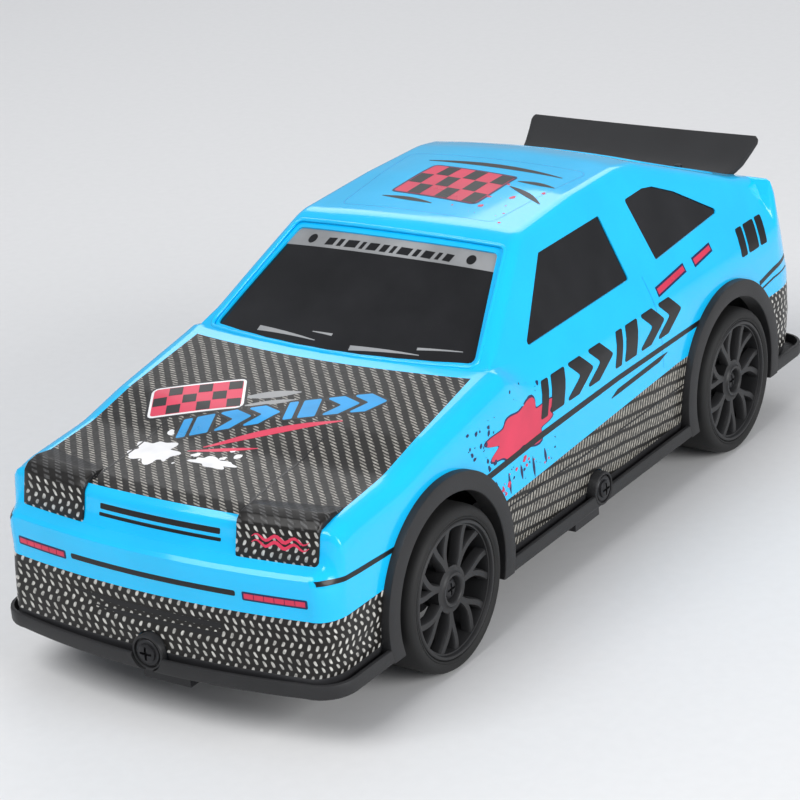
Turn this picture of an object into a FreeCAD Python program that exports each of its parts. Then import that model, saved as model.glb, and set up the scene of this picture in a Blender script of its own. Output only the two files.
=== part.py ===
"""Remote control car, 1:24 class: body shell on a skirt, four-wheel drive chassis, steered front wheels.

Millimetres. +Z is up, the front faces -Y and +X is the car's left. The origin is on the ground, under the
middle of the car. Every piece takes its sizes from the "Sizes" spreadsheet; worked-out sizes are expressions.
"""
import FreeCAD
import Part
import math
import os

import Sketcher

DRIVING_SIZES = {
    # the car as a whole
    "wheelbase": 108.0, "axle_shift": 1.4, "nose_y": -92.8, "tail_y": 92.8,
    # wheels
    "tyre_radius": 15.1, "wheel_face": 37.4, "wheel_width": 12.0, "tyre_shoulder": 2.4,
    "rim_radius": 12.5, "rim_wall": 1.2, "disc_sink": 1.3, "disc_thick": 1.9, "spoke_width": 1.5,
    "hub_radius": 3.4, "hub_depth": 7.2, "split_radius": 6.1, "axle_radius": 1.5,
    "screw_recess": 2.3, "recess_depth": 2.2, "bore_stop": 2.8,
    # body shell
    "shell_half": 35.4, "shell_wall": 1.2, "sill_z": 12.8, "shoulder_radius": 3.6, "corner_cut": 8.0,
    "hood_front_z": 39.2, "hood_mid_z": 41.2, "cowl_y": -32.6, "cowl_z": 47.8, "belt_rear_z": 51.0,
    "roof_front_y": -4.9, "roof_front_z": 63.7, "roof_top_y": 36.0, "roof_top_z": 66.5,
    "roof_rear_y": 45.0, "roof_rear_z": 63.6, "deck_y": 79.0, "deck_z": 51.8,
    "glass_half": 32.1, "belt_side_z": 46.8, "tumblehome": 0.46,
    "arch_inner": 17.0, "arch_outer": 20.5, "arch_lift": 0.5,
    # skirt
    "skirt_half": 36.8, "skirt_low": 9.0, "skirt_top": 12.6, "skirt_shelf": 4.6,
    "boss_radius": 3.3, "boss_gap": 0.3, "boss_z": 14.4, "boss_long": 3.6,
    "ear_x": 33.2, "ear_wall": 2.0, "ear_half": 4.5, "ear_top": 18.0, "end_inset": 5.0, "end_half": 5.0,
    "side_boss_y": -0.6,
    # rear spoiler
    "spoiler_half": 27.7, "spoiler_foot_y": 77.9, "spoiler_foot_z": 52.0, "spoiler_tip_y": 87.4,
    "spoiler_tip_z": 56.9, "spoiler_thick": 1.6,
    # chassis tray
    "floor_low": 5.6, "floor_thick": 1.4, "pad_drop": 1.0,
    "pad_near": 3.0, "pad_far": 21.0, "pad_front": -25.0, "pad_rear": 29.0, "tray_half": 24.0,
    "neck_half": 14.0, "tail_half": 22.0,
    "tray_front": -33.0, "tray_rear": 37.5, "rib": 1.2,
    # gearboxes and gears
    "box_half": 8.5, "box_wall": 1.5, "box_reach": 8.6, "box_top": 22.3, "bush_radius": 2.6,
    "running_gap": 0.05, "shaft_radius": 1.0, "crown_teeth": 20, "pinion_teeth": 10,
    "crown_radius": 5.6, "crown_face": 3.7, "crown_disc": 1.3, "crown_tooth": 1.1, "pinion_tip": 3.3,
    "pinion_root": 2.1, "pinion_width": 2.4, "spur_teeth": 28, "motor_teeth": 8, "gear_module": 0.5,
    "spur_y": 39.0, "spur_width": 2.4,
    # motor
    "can_radius": 7.75, "can_flat": 6.0, "can_length": 16.0, "can_front": 15.0, "cap_length": 3.0,
    # steering
    "kingpin_half": 25.0, "steer_sweep": 18.8, "kingpin_radius": 0.9, "post_radius": 2.2, "knuckle_low": 7.6,
    "knuckle_high": 22.6,
    "ring_radius": 5.6, "ring_bore": 3.9, "ring_start": 23.0, "bush_start": 27.6, "bush_length": 2.0,
    "arm_in": 5.0, "arm_back": 9.0, "arm_thick": 1.5, "arm_pin": 1.0, "rack_low": 23.2, "rack_thick": 1.5,
    "servo_y": -34.6, "servo_reach": 7.4, "servo_pin": 0.8, "guide_x": 11.7, "guide_radius": 1.2,
    # drive joints in the front wheels
    "cup_radius": 3.4, "cup_bore": 2.2, "cup_start": 23.4, "cup_end": 27.3, "cup_floor": 0.5,
    "ball_radius": 1.7, "cross_pin": 0.5, "cross_reach": 3.0, "neck_start": 19.5,
    # fasteners
    "washer_radius": 2.5, "head_thick": 1.1, "thread_radius": 0.8, "small_head": 1.6, "cross_slot": 0.5,
    # electrics
    "battery_near": 4.0, "battery_far": 21.6, "battery_front": -27.0, "battery_rear": 24.0,
    "battery_low": 7.4, "battery_top": 19.4, "door_gap": 0.25,
    "board_near": 3.6, "board_far": 22.0, "board_front": -27.5, "board_rear": 9.5, "board_z": 9.6,
    "board_thick": 1.2, "switch_x": 15.6, "switch_y": 38.6,
}

doc = FreeCAD.newDocument("remote_control_car")
sheet = doc.addObject("Spreadsheet::Sheet", "Sizes")
for row_number, (alias, value) in enumerate(DRIVING_SIZES.items(), start=1):
    sheet.set(f"A{row_number}", alias)
    sheet.set(f"B{row_number}", str(value))
    sheet.setAlias(f"B{row_number}", alias)
doc.recompute()


class Size:
    """A length or an angle: its value, and the spreadsheet expression that it is bound to."""

    def __init__(self, value, text):
        self.value = value
        self.text = text

    def __add__(self, other):
        other = size(other)
        return Size(self.value + other.value, f"({self.text} + {other.text})")

    def __sub__(self, other):
        other = size(other)
        return Size(self.value - other.value, f"({self.text} - {other.text})")

    def __mul__(self, other):
        other = size(other)
        return Size(self.value * other.value, f"({self.text} * {other.text})")

    def __truediv__(self, other):
        other = size(other)
        return Size(self.value / other.value, f"({self.text} / {other.text})")

    def __radd__(self, other):
        return size(other) + self

    def __rsub__(self, other):
        return size(other) - self

    def __rmul__(self, other):
        return size(other) * self

    def __neg__(self):
        return size(0) - self


def size(number):
    """A plain number, or the name of a cell, as a Size."""
    if isinstance(number, Size):
        return number
    if isinstance(number, str):
        return Size(float(DRIVING_SIZES[number]), f"Sizes.{number}")
    return Size(float(number), repr(float(number)))


def polar(radius, degrees):
    """The point at a radius and an angle, as two bound coordinates."""
    radius = size(radius)
    turn = size(degrees)
    along = Size(radius.value * math.cos(math.radians(turn.value)), f"({radius.text} * cos({turn.text}))")
    across = Size(radius.value * math.sin(math.radians(turn.value)), f"({radius.text} * sin({turn.text}))")
    return along, across


def bind(item, **sizes):
    """Bind properties of an object to their expressions; a double underscore stands for a dot."""
    for name, number in sizes.items():
        item.setExpression(name.replace("__", "."), size(number).text)
    return item


def place(item, x=0, y=0, z=0, turn=None):
    """Put an object at bound coordinates, with a plain rotation."""
    if turn is not None:
        item.Placement = FreeCAD.Placement(FreeCAD.Vector(0, 0, 0), turn)
    return bind(item, Placement__Base__x=x, Placement__Base__y=y, Placement__Base__z=z)


# turns that point an object's own +Z along a car axis
ALONG = {
    "X": FreeCAD.Rotation(FreeCAD.Vector(0, 1, 0), 90),
    "-X": FreeCAD.Rotation(FreeCAD.Vector(0, 1, 0), -90),
    "Y": FreeCAD.Rotation(FreeCAD.Vector(1, 0, 0), -90),
    "-Y": FreeCAD.Rotation(FreeCAD.Vector(1, 0, 0), 90),
    "Z": FreeCAD.Rotation(),
    "-Z": FreeCAD.Rotation(FreeCAD.Vector(1, 0, 0), 180),
}
# turns that lay a sketch's own plane in a car plane, with its normal along the third axis
YZ_PLANE = FreeCAD.Rotation(FreeCAD.Vector(0, 1, 0), FreeCAD.Vector(0, 0, 1), FreeCAD.Vector(1, 0, 0), "XYZ")
XZ_PLANE = FreeCAD.Rotation(FreeCAD.Vector(1, 0, 0), FreeCAD.Vector(0, 0, 1), FreeCAD.Vector(0, -1, 0), "XYZ")


# ---------------------------------------------------------------- primitives and booleans

def box(low, high):
    """A bound box between two corners."""
    low = [size(number) for number in low]
    high = [size(number) for number in high]
    block = doc.addObject("Part::Box", "Box")
    bind(block, Length=high[0] - low[0], Width=high[1] - low[1], Height=high[2] - low[2])
    return place(block, *low)


def cylinder(radius, length, at, along="Z"):
    """A bound cylinder that starts at a point and runs along an axis."""
    rod = doc.addObject("Part::Cylinder", "Cylinder")
    bind(rod, Radius=radius, Height=length)
    return place(rod, *at, turn=ALONG[along])



def ball(radius, at):
    """A bound sphere."""
    return place(bind(doc.addObject("Part::Sphere", "Sphere"), Radius=radius), *at)


def fuse(*items):
    """One solid from several."""
    if len(items) == 1:
        return items[0]
    joined = doc.addObject("Part::MultiFuse", "Fuse")
    joined.Shapes = list(items)
    joined.Refine = True
    return joined


def cut(base, *tools):
    """The first solid without the others."""
    rest = doc.addObject("Part::Cut", "Cut")
    rest.Base = base
    rest.Tool = fuse(*tools)
    return rest


def common(*items):
    """What several solids share."""
    shared = doc.addObject("Part::MultiCommon", "Common")
    shared.Shapes = list(items)
    return shared


def group(*items):
    """Separate solids in one node."""
    together = doc.addObject("Part::Compound", "Group")
    together.Links = list(items)
    return together



# ---------------------------------------------------------------- sketches

def pin_point(sketch, geometry, position, along, across):
    """Hold a point of a sketch at two bound distances from its origin."""
    for kind, coordinate in (("DistanceX", size(along)), ("DistanceY", size(across))):
        number = sketch.addConstraint(
            Sketcher.Constraint(kind, -1, 1, geometry, position, coordinate.value))
        sketch.setExpression(f"Constraints[{number}]", coordinate.text)


def draw_polygon(sketch, points):
    """A closed outline with every corner held by bound distances."""
    corners = [FreeCAD.Vector(size(along).value, size(across).value, 0) for along, across in points]
    first = sketch.GeometryCount
    count = len(corners)
    for index in range(count):
        line = Part.LineSegment(corners[index], corners[(index + 1) % count])
        sketch.addGeometry(line, False)
    for index in range(count):
        following = first + (index + 1) % count
        sketch.addConstraint(Sketcher.Constraint("Coincident", first + index, 2, following, 1))
    for index, (along, across) in enumerate(points):
        pin_point(sketch, first + index, 1, along, across)


def draw_circle(sketch, radius, along=0, across=0):
    """A circle of a bound radius about a bound centre."""
    radius = size(radius)
    centre = FreeCAD.Vector(size(along).value, size(across).value, 0)
    geometry = sketch.addGeometry(Part.Circle(centre, FreeCAD.Vector(0, 0, 1), radius.value), False)
    number = sketch.addConstraint(Sketcher.Constraint("Radius", geometry, radius.value))
    sketch.setExpression(f"Constraints[{number}]", radius.text)
    pin_point(sketch, geometry, 3, along, across)


def prism(points, start, end, turn=None):
    """An outline extruded from one bound distance to another; turn lays its plane."""
    sketch = doc.addObject("Sketcher::SketchObject", "Outline")
    draw_polygon(sketch, points)
    start = size(start)
    if turn is None:
        place(sketch, z=start)
    else:
        place(sketch, x=start, turn=turn)
    solid = doc.addObject("Part::Extrusion", "Prism")
    solid.Base = sketch
    solid.DirMode = "Normal"
    solid.Solid = True
    bind(solid, LengthFwd=size(end) - start)
    return solid


def round_edges(item, radius, chosen):
    """Fillet the edges that a test chooses."""
    doc.recompute()
    numbers = [number for number, edge in enumerate(item.Shape.Edges, start=1) if chosen(edge)]
    rounded = doc.addObject("Part::Fillet", "Rounded")
    rounded.Base = item
    value = size(radius).value
    rounded.Edges = [(number, value, value) for number in numbers]
    return rounded


# ---------------------------------------------------------------- PartDesign bodies

def new_body(name):
    """An empty PartDesign body."""
    return doc.addObject("PartDesign::Body", name + "_body")


def body_sketch(body, role="XY_Plane", offset=0):
    """A sketch on one of the body's own origin planes, at a bound offset."""
    sketch = body.newObject("Sketcher::SketchObject", "Sketch")
    plane = [feature for feature in body.Origin.OriginFeatures if feature.Role == role][0]
    sketch.AttachmentSupport = [(plane, "")]
    sketch.MapMode = "FlatFace"
    bind(sketch, AttachmentOffset__Base__z=offset)
    return sketch


def pad(body, draw, low, high):
    """Pad a drawing from one bound height to another above the body's XY plane."""
    sketch = body_sketch(body, offset=low)
    draw(sketch)
    feature = body.newObject("PartDesign::Pad", "Pad")
    feature.Profile = sketch
    bind(feature, Length=size(high) - size(low))
    body.Tip = feature
    return feature


def pocket(body, draw, low, high):
    """Cut a drawing out between two bound heights."""
    sketch = body_sketch(body, offset=high)
    draw(sketch)
    feature = body.newObject("PartDesign::Pocket", "Pocket")
    feature.Profile = sketch
    bind(feature, Length=size(high) - size(low))
    body.Tip = feature
    return feature


def polar_copies(body, features, count):
    """Repeat features around the body's Z axis."""
    pattern = body.newObject("PartDesign::PolarPattern", "Pattern")
    pattern.Originals = features
    axis = [feature for feature in body.Origin.OriginFeatures if feature.Role == "Z_Axis"][0]
    pattern.Axis = (axis, [""])
    pattern.Angle = 360
    bind(pattern, Occurrences=count)
    body.Tip = pattern
    return pattern


def fillet_body(body, radius, chosen):
    """Fillet the edges of the body's tip that a test chooses."""
    doc.recompute()
    tip = body.Tip
    names = [f"Edge{number}" for number, edge in enumerate(tip.Shape.Edges, start=1) if chosen(edge)]
    feature = body.newObject("PartDesign::Fillet", "Fillet")
    feature.Base = (tip, names)
    bind(feature, Radius=radius)
    body.Tip = feature
    return feature


def rectangle(x_low, x_high, y_low, y_high):
    """A drawing function for one rectangle."""
    corners = [(x_low, y_low), (x_high, y_low), (x_high, y_high), (x_low, y_high)]
    return lambda sketch: draw_polygon(sketch, corners)


def circle(radius, along=0, across=0):
    """A drawing function for one circle."""
    return lambda sketch: draw_circle(sketch, radius, along, across)


def ring(outer, inner):
    """A drawing function for two circles about the origin."""
    def draw(sketch):
        draw_circle(sketch, outer)
        draw_circle(sketch, inner)
    return draw


# ---------------------------------------------------------------- the nodes

nodes = {}


def node(name, item):
    """Record a finished sub-part under the name of its file."""
    item.Label = name
    nodes[name] = item
    return item


def ordered(first, second):
    """Two bound numbers, the lower first."""
    return sorted((size(first), size(second)), key=lambda number: number.value)


axle_z = size("tyre_radius")
front_axle = size("axle_shift") - size("wheelbase") / 2
rear_axle = size("axle_shift") + size("wheelbase") / 2
floor_top = size("floor_low") + "floor_thick"
SIDES = {"left": 1, "right": -1}
AXLES = {"front": front_axle, "rear": rear_axle}


# ------------------------------------------------ wheels, made about their own Z axis with Z out of the face

def spoke_windows():
    """The two openings that repeat seven times: between two split spokes, and inside a split."""
    rim_inside = size("rim_radius") - "rim_wall"
    half_width = size("spoke_width") / 2
    pitch = 360.0 / 14

    def spoke_edge(radius, angle):
        """A point half a spoke's width in from a spoke's middle line, towards the window."""
        slack = Size(math.degrees(half_width.value / size(radius).value),
                     f"({half_width.text} / {size(radius).text} * 180 / pi)")
        return polar(radius, size(angle) - slack)

    upper = [spoke_edge(rim_inside, pitch / 2), spoke_edge("split_radius", pitch),
             spoke_edge(size("hub_radius") + 0.4, pitch)]
    lower = [(along, -across) for along, across in reversed(upper)]
    split_tip = polar(size("split_radius") + 1.7, pitch)
    slack = Size(math.degrees(half_width.value / rim_inside.value),
                 f"({half_width.text} / {rim_inside.text} * 180 / pi)")
    inner = [split_tip, polar(rim_inside, pitch / 2 + slack), polar(rim_inside, size(1.5 * pitch) - slack)]
    return upper + lower, inner


def rim(name):
    """One split-spoke rim: a barrel, a pierced disc, and a hub with a bore and a screw recess."""
    body = new_body(name)
    disc_top = -size("disc_sink")
    disc_low = disc_top - "disc_thick"
    pad(body, circle("rim_radius"), disc_low, disc_top)
    pad(body, ring("rim_radius", size("rim_radius") - "rim_wall"), -size("wheel_width"), 0)
    pad(body, circle("hub_radius"), -size("hub_depth"), -0.9)
    between, inside = spoke_windows()
    cuts = [pocket(body, lambda sketch: draw_polygon(sketch, between), disc_low - 0.2, disc_top + 0.2),
            pocket(body, lambda sketch: draw_polygon(sketch, inside), disc_low - 0.2, disc_top + 0.2)]
    polar_copies(body, cuts, 7)
    pocket(body, circle("screw_recess"), -size("recess_depth"), 0)
    pocket(body, circle(size("thread_radius") + 0.1), -size("bore_stop"), -size("recess_depth"))
    pocket(body, circle("axle_radius"), -size("hub_depth"), -size("bore_stop"))
    return body


def tyre(name):
    """One smooth tyre with round shoulders."""
    body = new_body(name)
    pad(body, ring("tyre_radius", "rim_radius"), -size("wheel_width"), 0)
    outer = DRIVING_SIZES["tyre_radius"]
    fillet_body(body, "tyre_shoulder",
                lambda edge: hasattr(edge.Curve, "Radius") and abs(edge.Curve.Radius - outer) < 0.01)
    return body


def cross_screw(at, along, head_radius, shank_length):
    """One cross-head screw: at is under the middle of its head, along points out of the head."""
    x, y, z = [size(number) for number in at]
    step = {"X": (1, 0, 0), "-X": (-1, 0, 0), "Y": (0, 1, 0), "-Y": (0, -1, 0), "Z": (0, 0, 1),
            "-Z": (0, 0, -1)}[along]
    head = cylinder(head_radius, "head_thick", (x, y, z), along)
    back = size(shank_length)
    shank = cylinder("thread_radius", back, (x - back * step[0], y - back * step[1], z - back * step[2]),
                     along)
    slots = []
    for long_side, short_side in ((1, 0), (0, 1)):
        slot = doc.addObject("Part::Box", "Slot")
        reach = size(head_radius) * 1.1
        width = size("cross_slot")
        sizes = [reach if long_side else width, reach if short_side else width]
        bind(slot, Length=sizes[0], Width=sizes[1], Height=size("head_thick"))
        turn = ALONG[along]
        corner = turn.multVec(FreeCAD.Vector(1, 0, 0)), turn.multVec(FreeCAD.Vector(0, 1, 0))
        lift = size("head_thick") * 0.45
        centre = []
        for index, number in enumerate((x, y, z)):
            shift = sizes[0] * (-corner[0][index] / 2) + sizes[1] * (-corner[1][index] / 2)
            centre.append(number + shift + lift * step[index])
        slots.append(place(slot, *centre, turn=turn))
    return cut(fuse(head, shank), *slots)


for axle_name, axle_y in AXLES.items():
    for side_name, side in SIDES.items():
        corner_name = f"{axle_name}_{side_name}"
        outward = "X" if side > 0 else "-X"
        face_x = size("wheel_face") * side
        node(f"{corner_name}_rim", place(rim(corner_name), face_x, axle_y, axle_z, turn=ALONG[outward]))
        node(f"{corner_name}_tyre", place(tyre(corner_name), face_x, axle_y, axle_z, turn=ALONG[outward]))
        seat_x = (size("wheel_face") - "recess_depth") * side
        node(f"{corner_name}_wheel_screw",
             cross_screw((seat_x, axle_y, axle_z), outward, size("screw_recess") - 0.3, 3.4))


# ------------------------------------------------ body shell

def side_outline(inset, low):
    """The lower body seen from the side: bumper, hood, belt line and tail; (y, z) corners."""
    inset = size(inset)
    nose = size("nose_y") + 1.5 + inset
    tail = size("tail_y") - 3.2 - inset
    return [
        (nose, low), (nose - 0.2, 24.0), (nose + 1.6, 31.5), (nose + 5.0, size("hood_front_z") - 1.4 - inset),
        (nose + 7.6, size("hood_front_z") - inset), (front_axle - 11.0, size("hood_mid_z") - inset),
        (front_axle + 1.0, size("hood_mid_z") + 2.8 - inset), ("cowl_y", size("cowl_z") - inset),
        (20.0, size("cowl_z") + 1.0 - inset), (62.0, size("belt_rear_z") - inset),
        (size("deck_y") - inset, size("deck_z") - inset), (size("deck_y") + 5.2 - inset, 45.0),
        (tail - 1.6, 31.7),
        (tail - 1.0, 20.0), (tail, 16.2), (tail - 0.4, low)]


def roof_outline(inset):
    """The cabin seen from the side: windscreen, roof and fastback; (y, z) corners."""
    inset = size(inset)
    foot = size("belt_side_z") - 3.0
    return [
        (size("cowl_y") - 2.6 + inset * 1.5, foot), (size("cowl_y") + inset * 1.5, size("cowl_z") - 0.4),
        (size("roof_front_y") - 4.6 + inset, size("roof_front_z") - 2.2 - inset * 0.5),
        (size("roof_front_y") + inset * 0.3, size("roof_front_z") - inset),
        (18.0, size("roof_top_z") - 0.7 - inset), ("roof_top_y", size("roof_top_z") - inset),
        (size("roof_top_y") + 4.0, size("roof_top_z") - 0.7 - inset),
        ("roof_rear_y", size("roof_rear_z") - inset), (size("deck_y") - inset * 2, size("deck_z") - 0.3),
        (size("deck_y") - inset * 2, foot)]


def plan_outline(half, nose, tail, corner):
    """The car seen from above: a bowed nose with cut corners; (x, y) corners."""
    half = size(half)
    nose = size(nose)
    tail = size(tail)
    corner = size(corner)
    right = [(0, nose), (half * 0.42, nose + 0.7), (half - corner, nose + 2.4),
             (half - corner * 0.32, nose + 5.0),
             (half, nose + corner * 1.45), (half, tail - corner * 1.4), (half - corner * 0.32, tail - 4.6),
             (half - corner, tail - 1.6), (half * 0.42, tail - 0.4)]
    left = [(-across, along) for across, along in reversed(right[1:])]
    return right + [(0, tail)] + left


def cabin_outline(inset):
    """The cabin seen from the front: leaning sides and a round roof, as (x, z) corners."""
    inset = size(inset)
    low = size("belt_side_z") - 3.0
    high = size("roof_top_z") + 2.0
    half_low = size("glass_half") - inset + size("tumblehome") * 3.0
    half_high = size("glass_half") - inset - (high - "belt_side_z") * size("tumblehome")
    return [(-half_low, low), (half_low, low), (half_high, high), (-half_high, high)]


def shoulder_edge(edge):
    """True for an edge high on the lower body that keeps one place across the car."""
    first, last = edge.Vertexes[0].Point, edge.Vertexes[-1].Point
    return abs(first.x - last.x) < 0.01 and min(first.z, last.z) > 36.0


def body_form(inset):
    """The solid form of the whole body, moved in by a bound inset."""
    inset = size(inset)
    half = size("shell_half") - inset
    low = size("sill_z") if inset.value == 0 else size("sill_z") - 1.0
    lower = round_edges(prism(side_outline(inset, low), -half, half, YZ_PLANE),
                        size("shoulder_radius") - inset, shoulder_edge)
    plan = prism(plan_outline(half, size("nose_y") + 1.3 + inset, size("tail_y") - 3.2 - inset, "corner_cut"),
                 low, "roof_top_z")
    cabin_side = prism(roof_outline(inset), -half, half, YZ_PLANE)
    front_sketch = doc.addObject("Sketcher::SketchObject", "Outline")
    draw_polygon(front_sketch, cabin_outline(inset))
    place(front_sketch, y="tail_y", turn=XZ_PLANE)
    cabin_front = doc.addObject("Part::Extrusion", "Prism")
    cabin_front.Base = front_sketch
    cabin_front.DirMode = "Normal"
    cabin_front.Solid = True
    bind(cabin_front, LengthFwd=size("tail_y") - "nose_y")
    return fuse(common(lower, plan), common(cabin_side, cabin_front))


def window_prisms():
    """Where the three glazing pieces are let into the cabin."""
    screen_foot = size("cowl_y") + 3.4
    screen_head = size("roof_front_y") - 4.4
    screen = prism([(-26.6, screen_foot), (26.6, screen_foot), (21.4, screen_head), (-21.4, screen_head)],
                   size("cowl_z") + 0.6, "roof_top_z")
    rear_head = size("roof_rear_y") + 2.6
    rear_foot = size("deck_y") - 6.0
    rear = prism([(-20.6, rear_head), (20.6, rear_head), (23.0, rear_foot), (-23.0, rear_foot)],
                 size("belt_rear_z") + 2.2, "roof_top_z")
    belt = size("belt_side_z") + 1.6
    head = size("roof_front_z") - 4.2
    half = size("shell_half")
    door = prism([(-17.0, belt), (21.2, belt + 0.6), (20.6, head + 0.2), (-2.2, head)], -half, half, YZ_PLANE)
    quarter = prism([(33.0, belt + 0.8), (57.0, belt + 2.9), (48.0, head - 3.0), (40.0, head + 0.4),
                     (31.6, head + 0.3)], -half, half, YZ_PLANE)
    return screen, rear, fuse(door, quarter)


def arch_discs(radius, x_low, x_high):
    """Round cutters at the four wheels."""
    lift = axle_z + "arch_lift"
    length = size(x_high) - x_low
    return [cylinder(radius, length, (x_low, axle_y, lift), "X") for axle_y in AXLES.values()]


def bosses(radius, back, ahead):
    """Cylinders at the four body screws, from behind the tray's upstands' faces out through the skirt."""
    side_start = size("ear_x") + 0.2 - back
    end_start = size("tail_y") - "end_inset" - back
    side_length = size("boss_long") - 0.8 + back + ahead
    end_length = size("boss_long") + back + ahead
    return [cylinder(radius, side_length, (side_start, "side_boss_y", "boss_z"), "X"),
            cylinder(radius, side_length, (-side_start, "side_boss_y", "boss_z"), "-X"),
            cylinder(radius, end_length, (0, -end_start, "boss_z"), "-Y"),
            cylinder(radius, end_length, (0, end_start, "boss_z"), "Y")]


def head_recesses():
    """Room for the four washer heads outside the bosses' faces."""
    radius = size("washer_radius") + 0.25
    side_face = size("ear_x") + size("boss_long") - 0.6
    end_face = size("tail_y") - "end_inset" + "boss_long"
    return [cylinder(radius, 3, (side_face, "side_boss_y", "boss_z"), "X"),
            cylinder(radius, 3, (-side_face, "side_boss_y", "boss_z"), "-X"),
            cylinder(radius, 3, (0, -end_face, "boss_z"), "-Y"),
            cylinder(radius, 3, (0, end_face, "boss_z"), "Y")]


SPOILER_SCREWS = (-14.0, 14.0)
spoiler_screw_y = size("deck_y") - 2.6


def spoiler_holes(radius):
    """Where the two spoiler screws come up through the deck."""
    return [cylinder(radius, 8.0, (spoiler_x, spoiler_screw_y, size("deck_z") - 4.0))
            for spoiler_x in SPOILER_SCREWS]


outer_form = body_form(0)
inner_form = body_form("shell_wall")
skin = cut(outer_form, inner_form)
screen_prism, rear_prism, side_prism = window_prisms()
side_reach = size("shell_half") + 3.0
openings = (arch_discs(size("arch_inner") + 0.6, -side_reach, side_reach)
            + bosses(size("boss_radius") + "boss_gap", 1.5, 3.0)
            + spoiler_holes(size("thread_radius") + 0.1))
node("body_shell", cut(skin, screen_prism, rear_prism, side_prism, *openings))
node("windscreen_panel", common(skin, screen_prism))
node("rear_window_panel", common(skin, rear_prism))
node("side_window_panels", common(skin, side_prism))

# ------------------------------------------------ skirt and spoiler

def skirt_frame():
    """The dark frame under the shell: a shelf all round, four arch bands, and four screw bosses."""
    outer = prism(plan_outline("skirt_half", "nose_y", "tail_y", "corner_cut"), "skirt_low", "skirt_top")
    hollow_half = size("skirt_half") - "skirt_shelf"
    hollow = prism(plan_outline(hollow_half, size("nose_y") + "skirt_shelf", size("tail_y") - "skirt_shelf",
                                "corner_cut"), size("skirt_low") - 1, size("skirt_top") + 1)
    shelf = cut(outer, hollow)
    lift = axle_z + "arch_lift"
    bands = []
    for side in SIDES.values():
        start = (size("shell_half") + 0.2) if side > 0 else -size("skirt_half")
        for axle_y in AXLES.values():
            band = cylinder("arch_outer", size("skirt_half") - "shell_half" - 0.2, (start, axle_y, lift), "X")
            reach = size("arch_outer") + 1
            upper_half = box((start - 1, axle_y - reach, "skirt_low"),
                             (start + 3, axle_y + reach, lift + reach))
            bands.append(common(band, upper_half))
    side_reach = size("skirt_half") + 3
    margin = 0.2
    ear = size("ear_x") + margin
    end = size("tail_y") - "end_inset" + margin
    ear_low = size("side_boss_y") - "ear_half" - margin
    ear_high = size("side_boss_y") + "ear_half" + margin
    end_half = size("end_half") + margin
    shelf = cut(shelf, box((-ear, ear_low, size("skirt_low") - 1), (ear, ear_high, size("skirt_top") + 1)),
                box((-end_half, -end, size("skirt_low") - 1), (end_half, end, size("skirt_top") + 1)),
                *[cylinder("steer_sweep", 6, (size("kingpin_half") * side, front_axle, size("skirt_low") - 1))
                  for side in SIDES.values()])
    whole = fuse(shelf, *bands, *bosses("boss_radius", 0, 0))
    return cut(whole, *arch_discs("arch_inner", -side_reach, side_reach), *head_recesses(),
               *bosses(size("thread_radius") + 0.1, 1, 1))


node("skirt_frame", skirt_frame())
boss_face_x = size("ear_x") + "boss_long" - 0.6
boss_face_y = size("tail_y") - "end_inset" + "boss_long"
node("body_screws", group(
    cross_screw((boss_face_x, "side_boss_y", "boss_z"), "X", "washer_radius", 6.0),
    cross_screw((-boss_face_x, "side_boss_y", "boss_z"), "-X", "washer_radius", 6.0),
    cross_screw((0, -boss_face_y, "boss_z"), "-Y", "washer_radius", 6.0),
    cross_screw((0, boss_face_y, "boss_z"), "Y", "washer_radius", 6.0)))


def rear_spoiler():
    """A wide plate that leans back from the tail deck on a foot."""
    foot_y = size("spoiler_foot_y")
    foot_z = size("spoiler_foot_z")
    tip_y = size("spoiler_tip_y")
    tip_z = size("spoiler_tip_z")
    thick = size("spoiler_thick")
    blade = prism([(foot_y - 3.2, foot_z + 0.1), (foot_y + 1.0, foot_z + 0.1), (tip_y + 0.4, tip_z - thick),
                   (tip_y, tip_z), (tip_y - 1.6, tip_z), (foot_y - 2.2, foot_z + thick)],
                  -size("spoiler_half"), "spoiler_half", YZ_PLANE)
    corners = [box((low_x, foot_y - 3, foot_z - 1), (high_x, foot_y + 2.4, foot_z + 1.9))
               for low_x, high_x in ((-29, -25.2), (25.2, 29))]
    return cut(blade, outer_form, *corners, *spoiler_holes("thread_radius"))


node("rear_spoiler", rear_spoiler())
node("spoiler_screws", group(*[
    cross_screw((spoiler_x, spoiler_screw_y, size("deck_z") - 1.4), "-Z", "small_head", 2.6)
    for spoiler_x in SPOILER_SCREWS]))

# ------------------------------------------------ chassis tray

gear_reach = size("crown_radius")
spur_radius = size("gear_module") * "spur_teeth" / 2
motor_gear_radius = size("gear_module") * "motor_teeth" / 2
motor_x = spur_radius + motor_gear_radius
front_pinion_y = front_axle + gear_reach
rear_pinion_y = rear_axle - gear_reach
front_wall_y = front_axle + "box_reach"
rear_wall_y = rear_axle - "box_reach"
battery_middle = (size("battery_near") + "battery_far") / -2
board_posts = [(5.6, -25.5), (20.0, -25.5), (5.6, 7.5), (20.0, 7.5)]
servo_post_x = (-9.0, 14.9)
SCREW_PILOT = size("thread_radius")


def half_box(body, axle_y, inner_wall_y):
    """The lower half of a gearbox on the tray: two side walls and the two end walls, notched for bushes."""
    far = axle_y * 2 - inner_wall_y
    low_y, high_y = ordered(inner_wall_y, far)
    half = size("box_half")
    wall = size("box_wall")

    def walls(sketch):
        draw_polygon(sketch, [(-half, low_y), (half, low_y), (half, high_y), (-half, high_y)])
        draw_polygon(sketch, [(wall - half, low_y + wall), (half - wall, low_y + wall),
                              (half - wall, high_y - wall), (wall - half, high_y - wall)])
    pad(body, walls, floor_top - 0.5, axle_z)


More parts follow.
